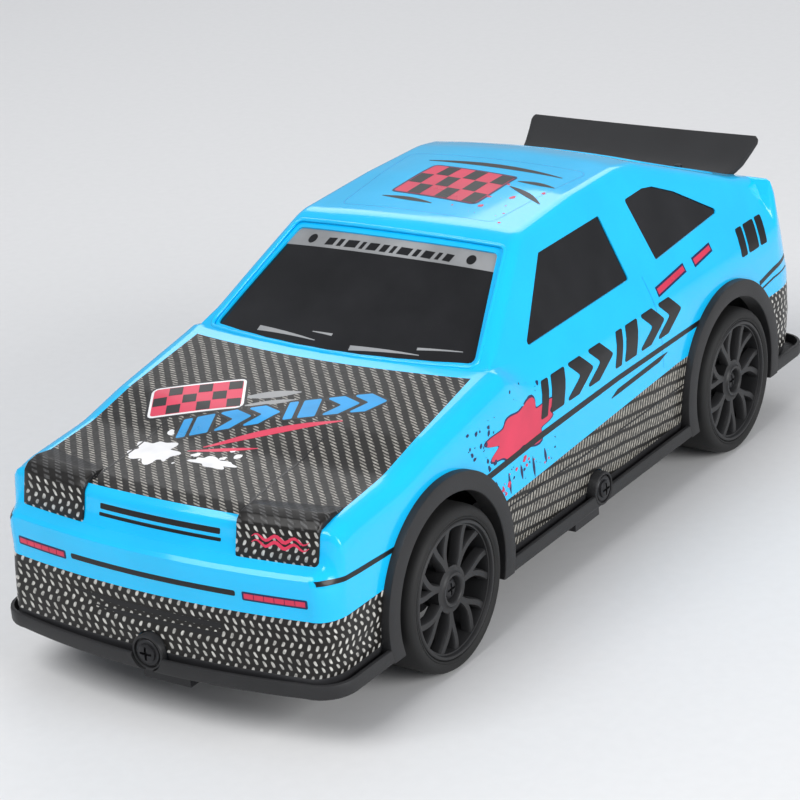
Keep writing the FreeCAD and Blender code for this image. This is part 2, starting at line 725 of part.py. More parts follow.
def tray_outline():
    """The tray from above: a neck between the front wheels, wide bays, side ears and a tail."""
    neck = size("neck_half")
    wide = size("tray_half")
    tail = size("tail_half")
    ear_x = size("ear_x")
    ear_low = size("side_boss_y") - "ear_half"
    ear_high = size("side_boss_y") + "ear_half"
    front_y = size("nose_y") + "end_inset"
    rear_y = size("tail_y") - "end_inset"
    end_half = size("end_half")
    right = [(end_half, front_y), (end_half, -76.0), (neck, -70.0), (neck, "tray_front"),
             (wide, size("tray_front") + 3),
             (wide, ear_low), (ear_x, ear_low), (ear_x, ear_high), (wide, ear_high), (wide, "tray_rear"),
             (tail, size("tray_rear") + 2), (tail, 76.0), (end_half, 82.0), (end_half, rear_y)]
    return right + [(-across, along) for across, along in reversed(right)]


def chassis_tray():
    """The floor with its stand pad, gearbox halves, ears, posts and ribs, and two openings."""
    body = new_body("chassis_tray")
    low = size("floor_low")
    pad(body, lambda sketch: draw_polygon(sketch, tray_outline()), low, floor_top)
    pad(body, rectangle("pad_near", "pad_far", "pad_front", "pad_rear"), low - "pad_drop", low + 0.2)
    half_box(body, front_axle, front_wall_y)
    half_box(body, rear_axle, rear_wall_y)
    rib = size("rib")
    wide = size("tray_half")
    inside = floor_top - 0.5
    for side in SIDES.values():
        for y_low, y_high in ((size("tray_front") + 3, size("side_boss_y") - "ear_half"),
                              (size("side_boss_y") + "ear_half", size("tray_rear"))):
            near, far = ordered(wide * side, (wide - rib) * side)
            pad(body, rectangle(near, far, y_low, y_high), inside, floor_top + 3.0)
        near, far = ordered(size("ear_x") * side, (size("ear_x") - "ear_wall") * side)
        pad(body, rectangle(near, far, size("side_boss_y") - "ear_half", size("side_boss_y") + "ear_half"),
            inside, "ear_top")
        near, far = ordered((size("tail_y") - "end_inset") * side,
                            (size("tail_y") - "end_inset" - "ear_wall") * side)
        pad(body, rectangle(-size("end_half"), "end_half", near, far), inside, "ear_top")
        pad(body, circle(2.6, size("kingpin_half") * side, front_axle), low, low + 1.6)
        arm_near, arm_far = ordered(size("neck_half") * side * 0.9, size("kingpin_half") * side)
        pad(body, rectangle(arm_near, arm_far, front_axle - 2.6, front_axle + 2.6), low, low + 1.4)
        pad(body, circle(size("guide_radius") + 0.9, size("guide_x") * side, front_axle + "arm_back"),
            inside, size("rack_low") - 0.15)
        pad(body, circle("guide_radius", size("guide_x") * side, front_axle + "arm_back"),
            size("rack_low") - 0.2, size("rack_low") + size("rack_thick") + 1.0)
    for post_x, post_y in board_posts:
        pad(body, circle(1.8, post_x, post_y), inside, "board_z")
    for post_x in servo_post_x:
        pad(body, circle(1.9, post_x, "servo_y"), inside, 17.2)
    # openings
    clearance = size("door_gap")
    pocket(body, rectangle(-size("battery_far") - clearance - 0.8, -size("battery_near") + clearance + 0.6,
                           size("battery_front") - clearance - 1.2, size("battery_rear") + clearance + 5.6),
           low - 1, floor_top + 0.2)
    pocket(body, rectangle(size("switch_x") - 0.9, size("switch_x") + 0.9, size("switch_y") - 2.4,
                           size("switch_y") + 2.4), low - 1, floor_top + 0.2)
    for side in SIDES.values():
        pocket(body, circle(size("kingpin_radius") + 0.1, size("kingpin_half") * side, front_axle), low - 1,
               low + 3)
    for post_x, post_y in board_posts:
        pocket(body, circle("thread_radius", post_x, post_y), floor_top + 0.2, "board_z")
    for post_x in servo_post_x:
        pocket(body, circle("thread_radius", post_x, "servo_y"), 11.0, 17.2)
    pocket(body, circle("thread_radius", motor_x + "can_radius" + 3.2, size("can_front") + 8.0), 5.8,
           floor_top)
    boss_low = floor_top + 0.3
    boss_high = floor_top + 3.4
    door_end = size("battery_rear") + 5.6 + clearance
    pad(body, rectangle(battery_middle - 2.6, battery_middle + 2.6, door_end - 5.2, door_end + 1.6),
        boss_low, boss_high)
    pad(body, rectangle(battery_middle - 2.6, battery_middle + 2.6, door_end + 0.1, door_end + 1.6),
        floor_top - 0.5, boss_low + 0.1)
    pocket(body, circle(size("thread_radius") + 0.15, battery_middle, size("battery_rear") + 3.0),
           boss_low - 0.2,
           boss_high + 0.1)
    return body


def bored(item):
    """A gearbox or tray piece with the bores for the axle bushes and the centre shaft's bushes."""
    half = size("box_half") + 1
    bush = size("bush_radius")
    bores = [cylinder(bush, half * 2, (-half, axle_y, axle_z), "X") for axle_y in AXLES.values()]
    bores.append(cylinder(bush, 3.6, (0, front_wall_y - 2.6, axle_z), "Y"))
    bores.append(cylinder(bush, 3.6, (0, rear_wall_y - 1.0, axle_z), "Y"))
    return cut(item, *bores)


cover_screws = [(axle_y + side * (size("box_reach") + 1.6), across)
                for axle_y in AXLES.values() for side in (-1, 1) for across in (-1, 1)]
lug_x = 5.4
lug_radius = 2.0


def lug_posts(radius, low, high):
    """Round posts, or screw holes, at the gearboxes' ends where the covers are screwed down."""
    return [cylinder(radius, size(high) - low, (lug_x * across, lug_y, low))
            for lug_y, across in cover_screws]


tray = fuse(bored(chassis_tray()), *lug_posts(lug_radius, floor_top - 0.5, axle_z))
node("chassis_tray",
     cut(tray, *bosses(SCREW_PILOT, 2.6, -2.0), *lug_posts(SCREW_PILOT, floor_top + 0.5, axle_z + 1)))


def gearbox_cover(axle_y, inner_wall_y, lugs, holes):
    """The upper half of a gearbox, with lugs for its screws."""
    far = axle_y * 2 - inner_wall_y
    low_y, high_y = ordered(inner_wall_y, far)
    half = size("box_half")
    wall = size("box_wall")
    thin = size("rib") * 0.6
    shell = cut(box((-half, low_y, axle_z), (half, high_y, "box_top")),
                box((wall - half, low_y + wall, axle_z - 1),
                    (half - wall, high_y - wall, size("box_top") - thin)))
    return cut(bored(fuse(shell, *lugs)), *holes)


lug_top = axle_z + 1.8
bridge_screw_x = 6.0
front_lugs = lug_posts(lug_radius, axle_z, lug_top)
cover_holes = lug_posts(SCREW_PILOT + 0.1, axle_z - 1, lug_top + 1)
node("front_gearbox_cover", cut(
    fuse(gearbox_cover(front_axle, front_wall_y, front_lugs[:4], cover_holes[:4]),
         *[cylinder(1.6, 0.7, (side * bridge_screw_x, front_axle, size("box_top") - 0.1))
           for side in SIDES.values()]),
    *[cylinder(SCREW_PILOT, 4, (side * bridge_screw_x, front_axle, 20.0)) for side in SIDES.values()]))
node("rear_gearbox_cover", gearbox_cover(rear_axle, rear_wall_y, lug_posts(lug_radius, axle_z, lug_top)[4:],
                                         lug_posts(SCREW_PILOT + 0.1, axle_z - 1, lug_top + 1)[4:]))
bridge_top = size("knuckle_high") + 0.3 + "arm_thick"
clamp_screw_x = motor_x + "can_radius" + 3.2
clamp_screw_y = size("can_front") + 8.0
node("chassis_screws", group(
    *[cross_screw((lug_x * across, lug_y, lug_top), "Z", "small_head", 6.0)
      for lug_y, across in cover_screws],
    *[cross_screw((side * bridge_screw_x, front_axle, bridge_top), "Z", "small_head", 2.5)
      for side in SIDES.values()],
    cross_screw((clamp_screw_x, clamp_screw_y, floor_top + 1.2), "Z", "small_head", 2.4)))

# ------------------------------------------------ drive train


def bush(at, along, bore, length):
    """A plain bush."""
    return cut(cylinder("bush_radius", length, at, along), cylinder(bore, length, at, along))


axle_bore = size("axle_radius") + "running_gap"
shaft_bore = size("shaft_radius") + "running_gap"
bush_x = size("box_half") - "box_wall"
bush_list = [bush((bush_x * side, axle_y, axle_z), "X" if side > 0 else "-X", axle_bore, "box_wall")
             for axle_y in AXLES.values() for side in SIDES.values()]
bush_list.append(bush((0, front_wall_y - "box_wall", axle_z), "Y", shaft_bore, "box_wall"))
bush_list.append(bush((0, rear_wall_y, axle_z), "Y", shaft_bore, "box_wall"))
node("plain_bushes", group(*bush_list))


def crown(name, at, along):
    """A crown gear: a disc with radial teeth standing on its face, bored for the axle."""
    body = new_body(name)
    tip = size("crown_radius") + 0.8
    pad(body, ring(tip, "axle_radius"), 0, "crown_disc")
    pad(body, ring(size("axle_radius") + 1.2, "axle_radius"), -1.8, 0)
    first = pad(body, rectangle(size("crown_radius") - 1.1, tip - 0.1, -0.26, 0.26), size("crown_disc") - 0.1,
                size("crown_disc") + "crown_tooth")
    polar_copies(body, [first], "crown_teeth")
    return place(body, *at, turn=along)


def gear_disc(teeth, root_radius, tip_radius, width, bore, thick, at, turn):
    """A gear placed with its teeth at a chosen phase."""
    body = new_body("gear")
    pad(body, ring(root_radius, bore), 0, width)
    half = size(thick) / 2
    start = size(root_radius) - 0.3
    first = pad(body, lambda sketch: draw_polygon(sketch, [
        (start, half * -1), (tip_radius, half * -0.7), (tip_radius, half * 0.7), (start, half)]), 0, width)
    polar_copies(body, [first], teeth)
    return place(body, *at, turn=turn)


crown_x = size("crown_face") + "crown_disc"
# the crown's own X axis, where a tooth stands, points at its pinion
rear_crown_turn = FreeCAD.Rotation(FreeCAD.Vector(0, -1, 0), FreeCAD.Vector(0, 0, 1),
                                   FreeCAD.Vector(-1, 0, 0), "XYZ")
front_crown_turn = FreeCAD.Rotation(FreeCAD.Vector(0, 1, 0), FreeCAD.Vector(0, 0, 1),
                                    FreeCAD.Vector(1, 0, 0), "XYZ")
node("rear_crown_gear", crown("rear_crown_gear", (crown_x, rear_axle, axle_z), rear_crown_turn))
node("front_crown_gear", crown("front_crown_gear", (-crown_x, front_axle, axle_z), front_crown_turn))

# the pinions' own X axis points half a tooth away from the crown, so that a gap faces the crown's tooth
half_tooth = 180.0 / DRIVING_SIZES["pinion_teeth"]
pinion_width = size("pinion_width")


def shaft_turn(angle):
    """Own +Z along +Y, with own +X at an angle from the car's +X."""
    return ALONG["Y"].multiply(FreeCAD.Rotation(FreeCAD.Vector(0, 0, 1), angle))


node("shaft_pinions", group(*[
    gear_disc("pinion_teeth", "pinion_root", "pinion_tip", pinion_width, "shaft_radius", 0.6,
              (0, pinion_y - pinion_width / 2, axle_z), shaft_turn(half_tooth))
    for pinion_y in (front_pinion_y, rear_pinion_y)]))
shaft_start = front_pinion_y - pinion_width / 2 - 0.2
shaft_end = rear_pinion_y + pinion_width / 2 + 0.2
node("centre_shaft", cylinder("shaft_radius", shaft_end - shaft_start, (0, shaft_start, axle_z), "Y"))

node("spur_gear",
     gear_disc("spur_teeth", spur_radius - 0.55, spur_radius + 0.42, "spur_width", "shaft_radius",
                            0.62, (0, "spur_y", axle_z), shaft_turn(0)))
motor_half_tooth = 180.0 / DRIVING_SIZES["motor_teeth"]
node("motor_pinion", gear_disc("motor_teeth", motor_gear_radius - 0.6, motor_gear_radius + 0.4,
                               size("spur_width") + 0.6, 0.75, 0.58,
                               (motor_x, size("spur_y") - 0.3, axle_z), shaft_turn(motor_half_tooth)))

can_rear = size("can_front") + "can_length"
node("motor_shaft",
     cylinder(0.75, size("spur_y") + 3.2 - can_rear + 4.0, (motor_x, can_rear - 4.0, axle_z), "Y"))


def flat_round(radius, flat, start, length):
    """A round can with flats at the top and bottom, about the motor's axis."""
    return common(cylinder(radius, length, (motor_x, start, axle_z), "Y"),
                  box((motor_x - radius - 1, start, axle_z - flat),
                      (motor_x + radius + 1, size(start) + length, axle_z + flat)))


node("motor_can", cut(fuse(flat_round("can_radius", "can_flat", "can_front", "can_length"),
                           cylinder(2.4, 1.0, (motor_x, can_rear, axle_z), "Y")),
                      cylinder(0.83, 8, (motor_x, can_rear - 4.1, axle_z), "Y")))
node("motor_end_cap", fuse(flat_round(size("can_radius") - 0.5, size("can_flat") - 0.5,
                                      size("can_front") - "cap_length", "cap_length"),
                           cylinder(2.2, 1.0, (motor_x, size("can_front") - "cap_length" - 1.0, axle_z),
                                    "Y")))
clamp_y = clamp_screw_y - 3.0
clamp_low = floor_top
clamp_outer = cut(box((motor_x - "can_radius" + 0.7, clamp_y, clamp_low),
                      (motor_x + "can_radius" + 1.4, clamp_y + 6.0, axle_z + "can_flat" + 1.2)),
                  box((motor_x - "can_radius" - 3, clamp_y - 1, clamp_low - 1),
                      (motor_x + "can_radius" + 0.05, clamp_y + 7.0, axle_z + "can_flat" + 0.05)))
clamp_foot = box((motor_x + "can_radius" + 0.05, clamp_y, clamp_low),
                 (motor_x + "can_radius" + 5.2, clamp_y + 6.0, clamp_low + 1.2))
node("motor_clamp", cut(fuse(clamp_outer, clamp_foot),
                        cylinder(SCREW_PILOT, 4, (clamp_screw_x, clamp_screw_y, clamp_low - 1))))

front_end = size("neck_start")
ball_x = size("kingpin_half")


def front_drive_shaft():
    """The front axle between the wheels: a thick middle, thin necks, and ball ends with pins."""
    pieces = [cylinder("axle_radius", front_end * 2, (-front_end, front_axle, axle_z), "X"),
              cylinder("shaft_radius", ball_x * 2, (-ball_x, front_axle, axle_z), "X")]
    for side in SIDES.values():
        pieces.append(ball("ball_radius", (ball_x * side, front_axle, axle_z)))
        pieces.append(cylinder("cross_pin", size("cross_reach") * 2,
                               (ball_x * side, front_axle, axle_z - "cross_reach"), "Z"))
    return fuse(*pieces)


node("front_drive_shaft", front_drive_shaft())
stub_end = size("wheel_face") - "bore_stop"


def stub_hole(side, axle_y):
    """The threaded hole for a wheel screw in the end of an axle."""
    return cylinder("thread_radius", 6, (stub_end * side, axle_y, axle_z), "-X" if side > 0 else "X")


node("rear_axle_shaft", cut(cylinder("axle_radius", stub_end * 2, (-stub_end, rear_axle, axle_z), "X"),
                            stub_hole(1, rear_axle), stub_hole(-1, rear_axle)))


def wheel_axle(side):
    """A drive cup that takes the ball end, with a stub for the front wheel."""
    outward = "X" if side > 0 else "-X"
    start = size("cup_start") * side
    cup_length = size("cup_end") - "cup_start"
    cup = cut(cylinder("cup_radius", cup_length, (start, front_axle, axle_z), outward),
              cylinder("cup_bore", cup_length - "cup_floor", (start, front_axle, axle_z), outward))
    slot_half = size("cross_pin") + 0.28
    slot_near, slot_far = ordered((size("cup_start") - 1) * side, (size("cup_end") - "cup_floor") * side)
    slot = box((slot_near, front_axle - slot_half, axle_z - 5),
               (slot_far, front_axle + slot_half, axle_z + 5))
    stub = cylinder("axle_radius", stub_end - "cup_end", (size("cup_end") * side, front_axle, axle_z),
                    outward)
    return cut(fuse(cut(cup, slot), stub), stub_hole(side, front_axle))


# ------------------------------------------------ steering

arm_length = math.hypot(DRIVING_SIZES["arm_in"], DRIVING_SIZES["arm_back"])
arm_size = Size(arm_length, "sqrt(Sizes.arm_in ^ 2 + Sizes.arm_back ^ 2)")
pin_y = front_axle + "arm_back"


def knuckle(side):
    """A bored ring that carries the wheel's bush, with kingpin posts above and below and a steering arm."""
    outward = "X" if side > 0 else "-X"
    x = size("kingpin_half") * side
    ring_end = size("bush_start") + "bush_length"
    start = size("ring_start") * side
    barrel = cylinder("ring_radius", ring_end - "ring_start", (start, front_axle, axle_z), outward)
    post = cylinder("post_radius", size("knuckle_high") - "knuckle_low", (x, front_axle, "knuckle_low"))
    arm_low = size("knuckle_high") - "arm_thick"
    arm = doc.addObject("Part::Box", "Arm")
    bind(arm, Length=arm_size, Width=size("arm_pin") * 2.6, Height="arm_thick")
    angle = math.degrees(math.atan2(DRIVING_SIZES["arm_back"], -side * DRIVING_SIZES["arm_in"]))
    turn = FreeCAD.Rotation(FreeCAD.Vector(0, 0, 1), angle)
    sideways = turn.multVec(FreeCAD.Vector(0, 1, 0))
    half = size("arm_pin") * 1.3
    place(arm, x - half * sideways.x, front_axle - half * sideways.y, arm_low, turn=turn)
    pin_x = (size("kingpin_half") - "arm_in") * side
    tip = cylinder(size("arm_pin") * 1.3, "arm_thick", (pin_x, pin_y, arm_low))
    pin = cylinder("arm_pin", size("rack_low") + size("rack_thick") + 0.4 - "knuckle_high",
                   (pin_x, pin_y, "knuckle_high"))
    cavity = cylinder("ring_bore", size("bush_start") - "ring_start" + 1,
                      ((size("ring_start") - 1) * side, front_axle, axle_z), outward)
    seat = cylinder("bush_radius", size("bush_length") + 1, (size("bush_start") * side, front_axle, axle_z),
                    outward)
    pin_hole = size("kingpin_radius") + 0.05
    kingpin_holes = [cylinder(pin_hole, 3.4, (x, front_axle, size("knuckle_high") - 3.2)),
                     cylinder(pin_hole, 3.4, (x, front_axle, size("knuckle_low") - 0.2))]
    return cut(fuse(barrel, post, arm, tip, pin), cavity, seat, *kingpin_holes)


for side_name, side in SIDES.items():
    outward = "X" if side > 0 else "-X"
    node(f"knuckle_{side_name}", knuckle(side))
    node(f"knuckle_bush_{side_name}",
         bush((size("bush_start") * side, front_axle, axle_z), outward, axle_bore, "bush_length"))
    node(f"wheel_axle_{side_name}", wheel_axle(side))

bridge_low = size("knuckle_high") + 0.3
bridge_thick = size("arm_thick")


def front_upper_bridge():
    """The strap over the front gearbox that holds the upper ends of both kingpins."""
    reach = size("kingpin_half")
    strap = box((-reach, front_axle - 2.2, bridge_low), (reach, front_axle + 2.2, bridge_low + bridge_thick))
    ends = [cylinder(2.2, bridge_thick, (reach * side, front_axle, bridge_low)) for side in SIDES.values()]
    holes = [cylinder(size("kingpin_radius"), 4, (reach * side, front_axle, bridge_low - 1))
             for side in SIDES.values()]
    screw_holes = [cylinder(SCREW_PILOT, 4, (side * bridge_screw_x, front_axle, bridge_low - 1))
                   for side in SIDES.values()]
    return cut(fuse(strap, *ends), *holes, *screw_holes)


node("front_upper_bridge", front_upper_bridge())


def kingpin(side, upward):
    """A headed pin through the bridge or the tray's arm into the knuckle."""
    x = size("kingpin_half") * side
    if upward:
        seat = bridge_low + bridge_thick
        stem = cylinder("kingpin_radius", seat - size("knuckle_high") + 2.6, (x, front_axle, seat), "-Z")
        return fuse(cylinder(1.5, 0.8, (x, front_axle, seat)), stem)
    seat = size("floor_low")
    stem = cylinder("kingpin_radius", size("knuckle_low") - seat + 2.6, (x, front_axle, seat))
    return fuse(cylinder(1.5, 0.8, (x, front_axle, seat - 0.8)), stem)


node("kingpins", group(*[kingpin(side, upward) for side in SIDES.values() for upward in (True, False)]))


def steering_rack():
    """A flat bar with slots for the knuckle pins, the guide posts and the servo's pin."""
    body = new_body("steering_rack")
    low = size("rack_low")
    high = low + "rack_thick"
    pin_x = size("kingpin_half") - "arm_in"
    slot_half = size("arm_pin") + 0.35
    end_x = pin_x + slot_half + 0.9
    guide_y = pin_y
    guide_x = size("guide_x")
    centre_y = size("servo_y") - "servo_reach"

    pad(body, lambda sketch: draw_polygon(sketch, [
        (-end_x, pin_y - 4.5), (-pin_x + 4.0, pin_y - 4.5), (-pin_x + 5.0, pin_y - 2.6),
        (pin_x - 5.0, pin_y - 2.6),
        (pin_x - 4.0, pin_y - 4.5), (end_x, pin_y - 4.5), (end_x, pin_y + 3.4), (-end_x, pin_y + 3.4)]), low,
        high)
    for side in SIDES.values():
        middle = pin_x * side
        pocket(body, rectangle(middle - slot_half, middle + slot_half, pin_y - 3.6, pin_y + 2.5),
               low - 0.5, high + 0.5)
        middle = guide_x * side
        reach = size("guide_radius") + 3.45
        pocket(body, rectangle(middle - reach, middle + reach, guide_y - "guide_radius" - 0.12,
                               guide_y + "guide_radius" + 0.12), low - 0.5, high + 0.5)
    pocket(body, rectangle(-size("servo_pin") - 0.1, size("servo_pin") + 0.1, centre_y - 1.2, centre_y + 1.6),
           low - 0.5, high + 0.5)
    return body


node("steering_rack", steering_rack())

servo_y = size("servo_y")
servo_top = 20.9
node("servo_case", cut(fuse(
    box((-7.0, servo_y - 4.3, 17.2), (13.0, servo_y + 4.3, servo_top)),
    box((3.0, servo_y - 4.3, floor_top), (13.0, servo_y + 4.3, 17.2)),
    box((-11.2, servo_y - 2.6, 17.2), (17.0, servo_y + 2.6, 18.7)),
    cylinder(2.8, 0.4, (0, servo_y, servo_top - 0.1))),
    cylinder(1.16, 3, (0, servo_y, servo_top - 2.4)),
    *[cylinder(SCREW_PILOT + 0.1, 4, (post_x, servo_y, 16.5)) for post_x in servo_post_x]))
arm_low = size(servo_top) + 0.45
node("servo_arm", fuse(
    cylinder(1.1, 3.0, (0, servo_y, size(servo_top) - 2.2)),
    cylinder(2.4, 1.3, (0, servo_y, arm_low)),
    box((-1.2, servo_y - "servo_reach", arm_low), (1.2, servo_y, arm_low + 1.3)),
    cylinder(1.2, 1.3, (0, servo_y - "servo_reach", arm_low)),
    cylinder("servo_pin", size("rack_low") + size("rack_thick") + 0.3 - arm_low,
             (0, servo_y - "servo_reach", arm_low))))
node("servo_screws", group(*[cross_screw((post_x, servo_y, 18.7), "Z", "small_head", 5.0)
                             for post_x in servo_post_x]))

# ------------------------------------------------ electrics

battery_length = size("battery_rear") - "battery_front"
cell_radius = (size("battery_top") - "battery_low") / 2 - 0.4


def battery_pack():
    """Two cells side by side in a shrunk sleeve, kept as one piece."""
    middle_z = (size("battery_low") + "battery_top") / 2
    front = size("battery_front") + 0.8
    length = battery_length - 1.6
    reach = (size("battery_far") - "battery_near") / 2 - cell_radius - 0.2
    cells = [cylinder(cell_radius, length, (battery_middle + side * reach, front, middle_z), "Y")
             for side in SIDES.values()]
    web = box((battery_middle - reach, front + 0.4, middle_z - cell_radius + 0.4),
              (battery_middle + reach, front + length - 0.4, middle_z + cell_radius - 0.4))
    return fuse(*cells, web)


node("battery_pack", battery_pack())
door_low_x = -size("battery_far") - 0.8
door_high_x = -size("battery_near") + 0.6
door_front = size("battery_front") - 1.2
door_rear = size("battery_rear") + 5.6


def battery_door():
    """The flat door under the battery, with grip ribs and a screw hole."""
    body = new_body("battery_door")
    low = size("floor_low")
    pad(body, rectangle(door_low_x, door_high_x, door_front, door_rear), low, floor_top)
    rib = pad(body, rectangle(door_low_x + 4, door_high_x - 4, door_front + 4, door_front + 5), low - 0.4,
              low + 0.3)
    pattern = body.newObject("PartDesign::LinearPattern", "Pattern")
    pattern.Originals = [rib]
    axis = [feature for feature in body.Origin.OriginFeatures if feature.Role == "Y_Axis"][0]
    pattern.Direction = (axis, [""])
    bind(pattern, Length=10)
    pattern.Occurrences = 5
    body.Tip = pattern
    pocket(body, circle(SCREW_PILOT + 0.1, battery_middle, door_rear - 2.6), low - 1, floor_top + 1)
    pocket(body, circle(size("small_head") + 0.2, battery_middle, door_rear - 2.6), low - 1, low + 0.6)
    return body


node("battery_door", battery_door())
node("battery_door_screw", cross_screw((battery_middle, door_rear - 2.6, size("floor_low") + 0.6), "-Z",
                                       "small_head", 3.0))

board_top = size("board_z") + "board_thick"
node("circuit_board", cut(
    box(("board_near", "board_front", "board_z"), ("board_far", "board_rear", board_top)),
    *[cylinder(0.8, 4, (post_x, post_y, size("board_z") - 1)) for post_x, post_y in board_posts]))
chips = [((8.0, -18.0), (15.0, -11.0), 1.6), ((8.6, -7.0), (11.6, -2.0), 1.2),
         ((14.6, -6.0), (18.6, -2.0), 1.4),
         ((7.0, 1.0), (10.0, 4.0), 2.6), ((17.0, -20.0), (20.0, -14.0), 4.0), ((12.4, 0.0), (17.0, 3.0), 1.0)]
node("board_components", group(*[
    box((low[0], low[1], board_top), (high[0], high[1], board_top + height)) for low, high, height in chips]))
node("board_screws", group(*[cross_screw((post_x, post_y, board_top), "Z", size("small_head") - 0.2, 2.6)
                             for post_x, post_y in (board_posts[0], board_posts[3])]))

switch_x = size("switch_x")
switch_y = size("switch_y")
node("power_switch_case", cut(
    box((switch_x - 2.6, switch_y - 5.2, floor_top), (switch_x + 2.6, switch_y + 5.2, floor_top + 4.2)),
    box((switch_x - 1.5, switch_y - 2.6, floor_top - 1), (switch_x + 1.5, switch_y + 2.6, floor_top + 2.2))))
knob_y = switch_y - 1.2
node("power_switch_knob", fuse(
    box((switch_x - 1.3, knob_y - 1.2, floor_top + 0.2), (switch_x + 1.3, knob_y + 1.2, floor_top + 2.0)),
    box((switch_x - 0.7, knob_y - 0.9, size("floor_low") - 0.7),
        (switch_x + 0.7, knob_y + 0.9, floor_top + 0.4))))

# ------------------------------------------------ check and write

doc.recompute()
faults = [item.Name for item in doc.Objects if "Invalid" in item.State or "Error" in item.State]
if faults:
    raise RuntimeError(f"objects that failed: {faults}")
for name, item in nodes.items():
    if item.Shape.isNull() or not item.Shape.isValid():
        raise RuntimeError(f"{name} has no valid shape")
os.makedirs("parts", exist_ok=True)
for name, item in nodes.items():
    item.Shape.exportStep(f"parts/{name}.step")
    bound = item.Shape.BoundBox
    print(f"{name}: {len(item.Shape.Solids)} solids, {item.Shape.Volume:.1f} mm3, "
          f"x {bound.XMin:.2f}..{bound.XMax:.2f} y {bound.YMin:.2f}..{bound.YMax:.2f} "
          f"z {bound.ZMin:.2f}..{bound.ZMax:.2f}")
print(len(nodes), "nodes")
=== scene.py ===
"""Looks of the remote control car: a refined shell, graphics, skirt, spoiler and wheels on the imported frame.

Lengths in the tables are millimetres in the row frame: the front faces -Y, +X is the car's left, +Z is up.
"""

import math
import random

import bmesh
import bpy
from mathutils import Matrix, Vector
from mathutils.bvhtree import BVHTree
from mathutils.geometry import tessellate_polygon


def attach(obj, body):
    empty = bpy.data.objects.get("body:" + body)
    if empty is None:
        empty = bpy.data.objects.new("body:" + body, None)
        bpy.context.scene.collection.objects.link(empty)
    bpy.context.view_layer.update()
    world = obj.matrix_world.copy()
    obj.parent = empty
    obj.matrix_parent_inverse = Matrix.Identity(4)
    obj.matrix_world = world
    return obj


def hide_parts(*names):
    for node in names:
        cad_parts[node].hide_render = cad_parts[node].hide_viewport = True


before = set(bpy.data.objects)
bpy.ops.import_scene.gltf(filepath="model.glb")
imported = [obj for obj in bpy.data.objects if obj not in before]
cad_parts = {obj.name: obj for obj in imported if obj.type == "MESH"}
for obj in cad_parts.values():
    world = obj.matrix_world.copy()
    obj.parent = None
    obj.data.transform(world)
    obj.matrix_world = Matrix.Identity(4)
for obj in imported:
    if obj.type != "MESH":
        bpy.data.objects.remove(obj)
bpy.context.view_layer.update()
MM = 0.001


# ------------------------------------------------ small helpers

def mix(low, high, share):
    """The number that is a share of the way from low to high."""
    return low + (high - low) * share


def ease(value):
    """A share held between 0 and 1, eased at both ends."""
    value = min(max(value, 0.0), 1.0)
    return value * value * (3 - 2 * value)


def along(table, value):
    """Straight-line reading of a table of (place, reading) rows."""
    if value <= table[0][0]:
        return table[0][1]
    for (low, first), (high, second) in zip(table, table[1:]):
        if value <= high:
            return mix(first, second, (value - low) / (high - low))
    return table[-1][1]


def arc_corner(before, corner, after, radius, steps):
    """Points of the arc that rounds one corner of a polyline; the radius shrinks where the runs are short."""
    before, corner, after = Vector(before), Vector(corner), Vector(after)
    inward = before - corner
    outward = after - corner
    if inward.length < 1e-6 or outward.length < 1e-6:
        return [tuple(corner)] * (steps + 1)
    turn = math.pi - inward.angle(outward)
    if turn < 1e-4:
        return [tuple(corner)] * (steps + 1)
    reach = min(radius * math.tan(turn / 2), 0.48 * inward.length, 0.48 * outward.length)
    start = corner + inward.normalized() * reach
    end = corner + outward.normalized() * reach
    middle = corner + (inward.normalized() + outward.normalized()).normalized() * (reach / math.sin(turn / 2))
    radius = (start - middle).length
    points = []
    for step in range(steps + 1):
        share = step / steps
        spoke = (start - middle) * math.sin((1 - share) * turn) + (end - middle) * math.sin(share * turn)
        points.append(tuple(middle + spoke.normalized() * radius))
    return points


def rounded_loop(corners, radius, steps=4):
    """A closed outline with every corner rounded."""
    count = len(corners)
    points = []
    for index in range(count):
        points += arc_corner(corners[index - 1], corners[index], corners[(index + 1) % count], radius, steps)
    return points


def finish_mesh(obj, sharp_degrees=32.0):
    """Outward faces, smooth shading, and hard edges where faces meet at more than the given angle."""
    work = bmesh.new()
    work.from_mesh(obj.data)
    bmesh.ops.recalc_face_normals(work, faces=work.faces)
    for face in work.faces:
        face.smooth = True
    limit = math.radians(sharp_degrees)
    for edge in work.edges:
        edge.smooth = edge.is_manifold and edge.calc_face_angle(math.pi) < limit
    work.to_mesh(obj.data)
    work.free()
    return obj


def make_object(name, points, faces, materials=(), face_materials=None, sharp_degrees=32.0):
    """A mesh object from millimetre points."""
    mesh = bpy.data.meshes.new(name)
    mesh.from_pydata([tuple(MM * number for number in point) for point in points], [], faces)
    for material in materials:
        mesh.materials.append(material)
    if face_materials is not None:
        for polygon, index in zip(mesh.polygons, face_materials):
            polygon.material_index = index
    obj = bpy.data.objects.new(name, mesh)
    bpy.context.scene.collection.objects.link(obj)
    return finish_mesh(obj, sharp_degrees)


def piece(obj, body, slot, *nodes):
    """Tie a finished piece to its body and hide the CAD nodes it replaces; the slot is not used."""
    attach(obj, body)
    if nodes:
        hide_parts(*nodes)
    return obj


def boolean(obj, tool):
    """Cut a tool's form out of an object, then drop the tool."""
    modifier = obj.modifiers.new("work", "BOOLEAN")
    modifier.operation = "DIFFERENCE"
    modifier.object = tool
    modifier.solver = "EXACT"
    bake_modifiers(obj)
    bpy.data.objects.remove(tool)


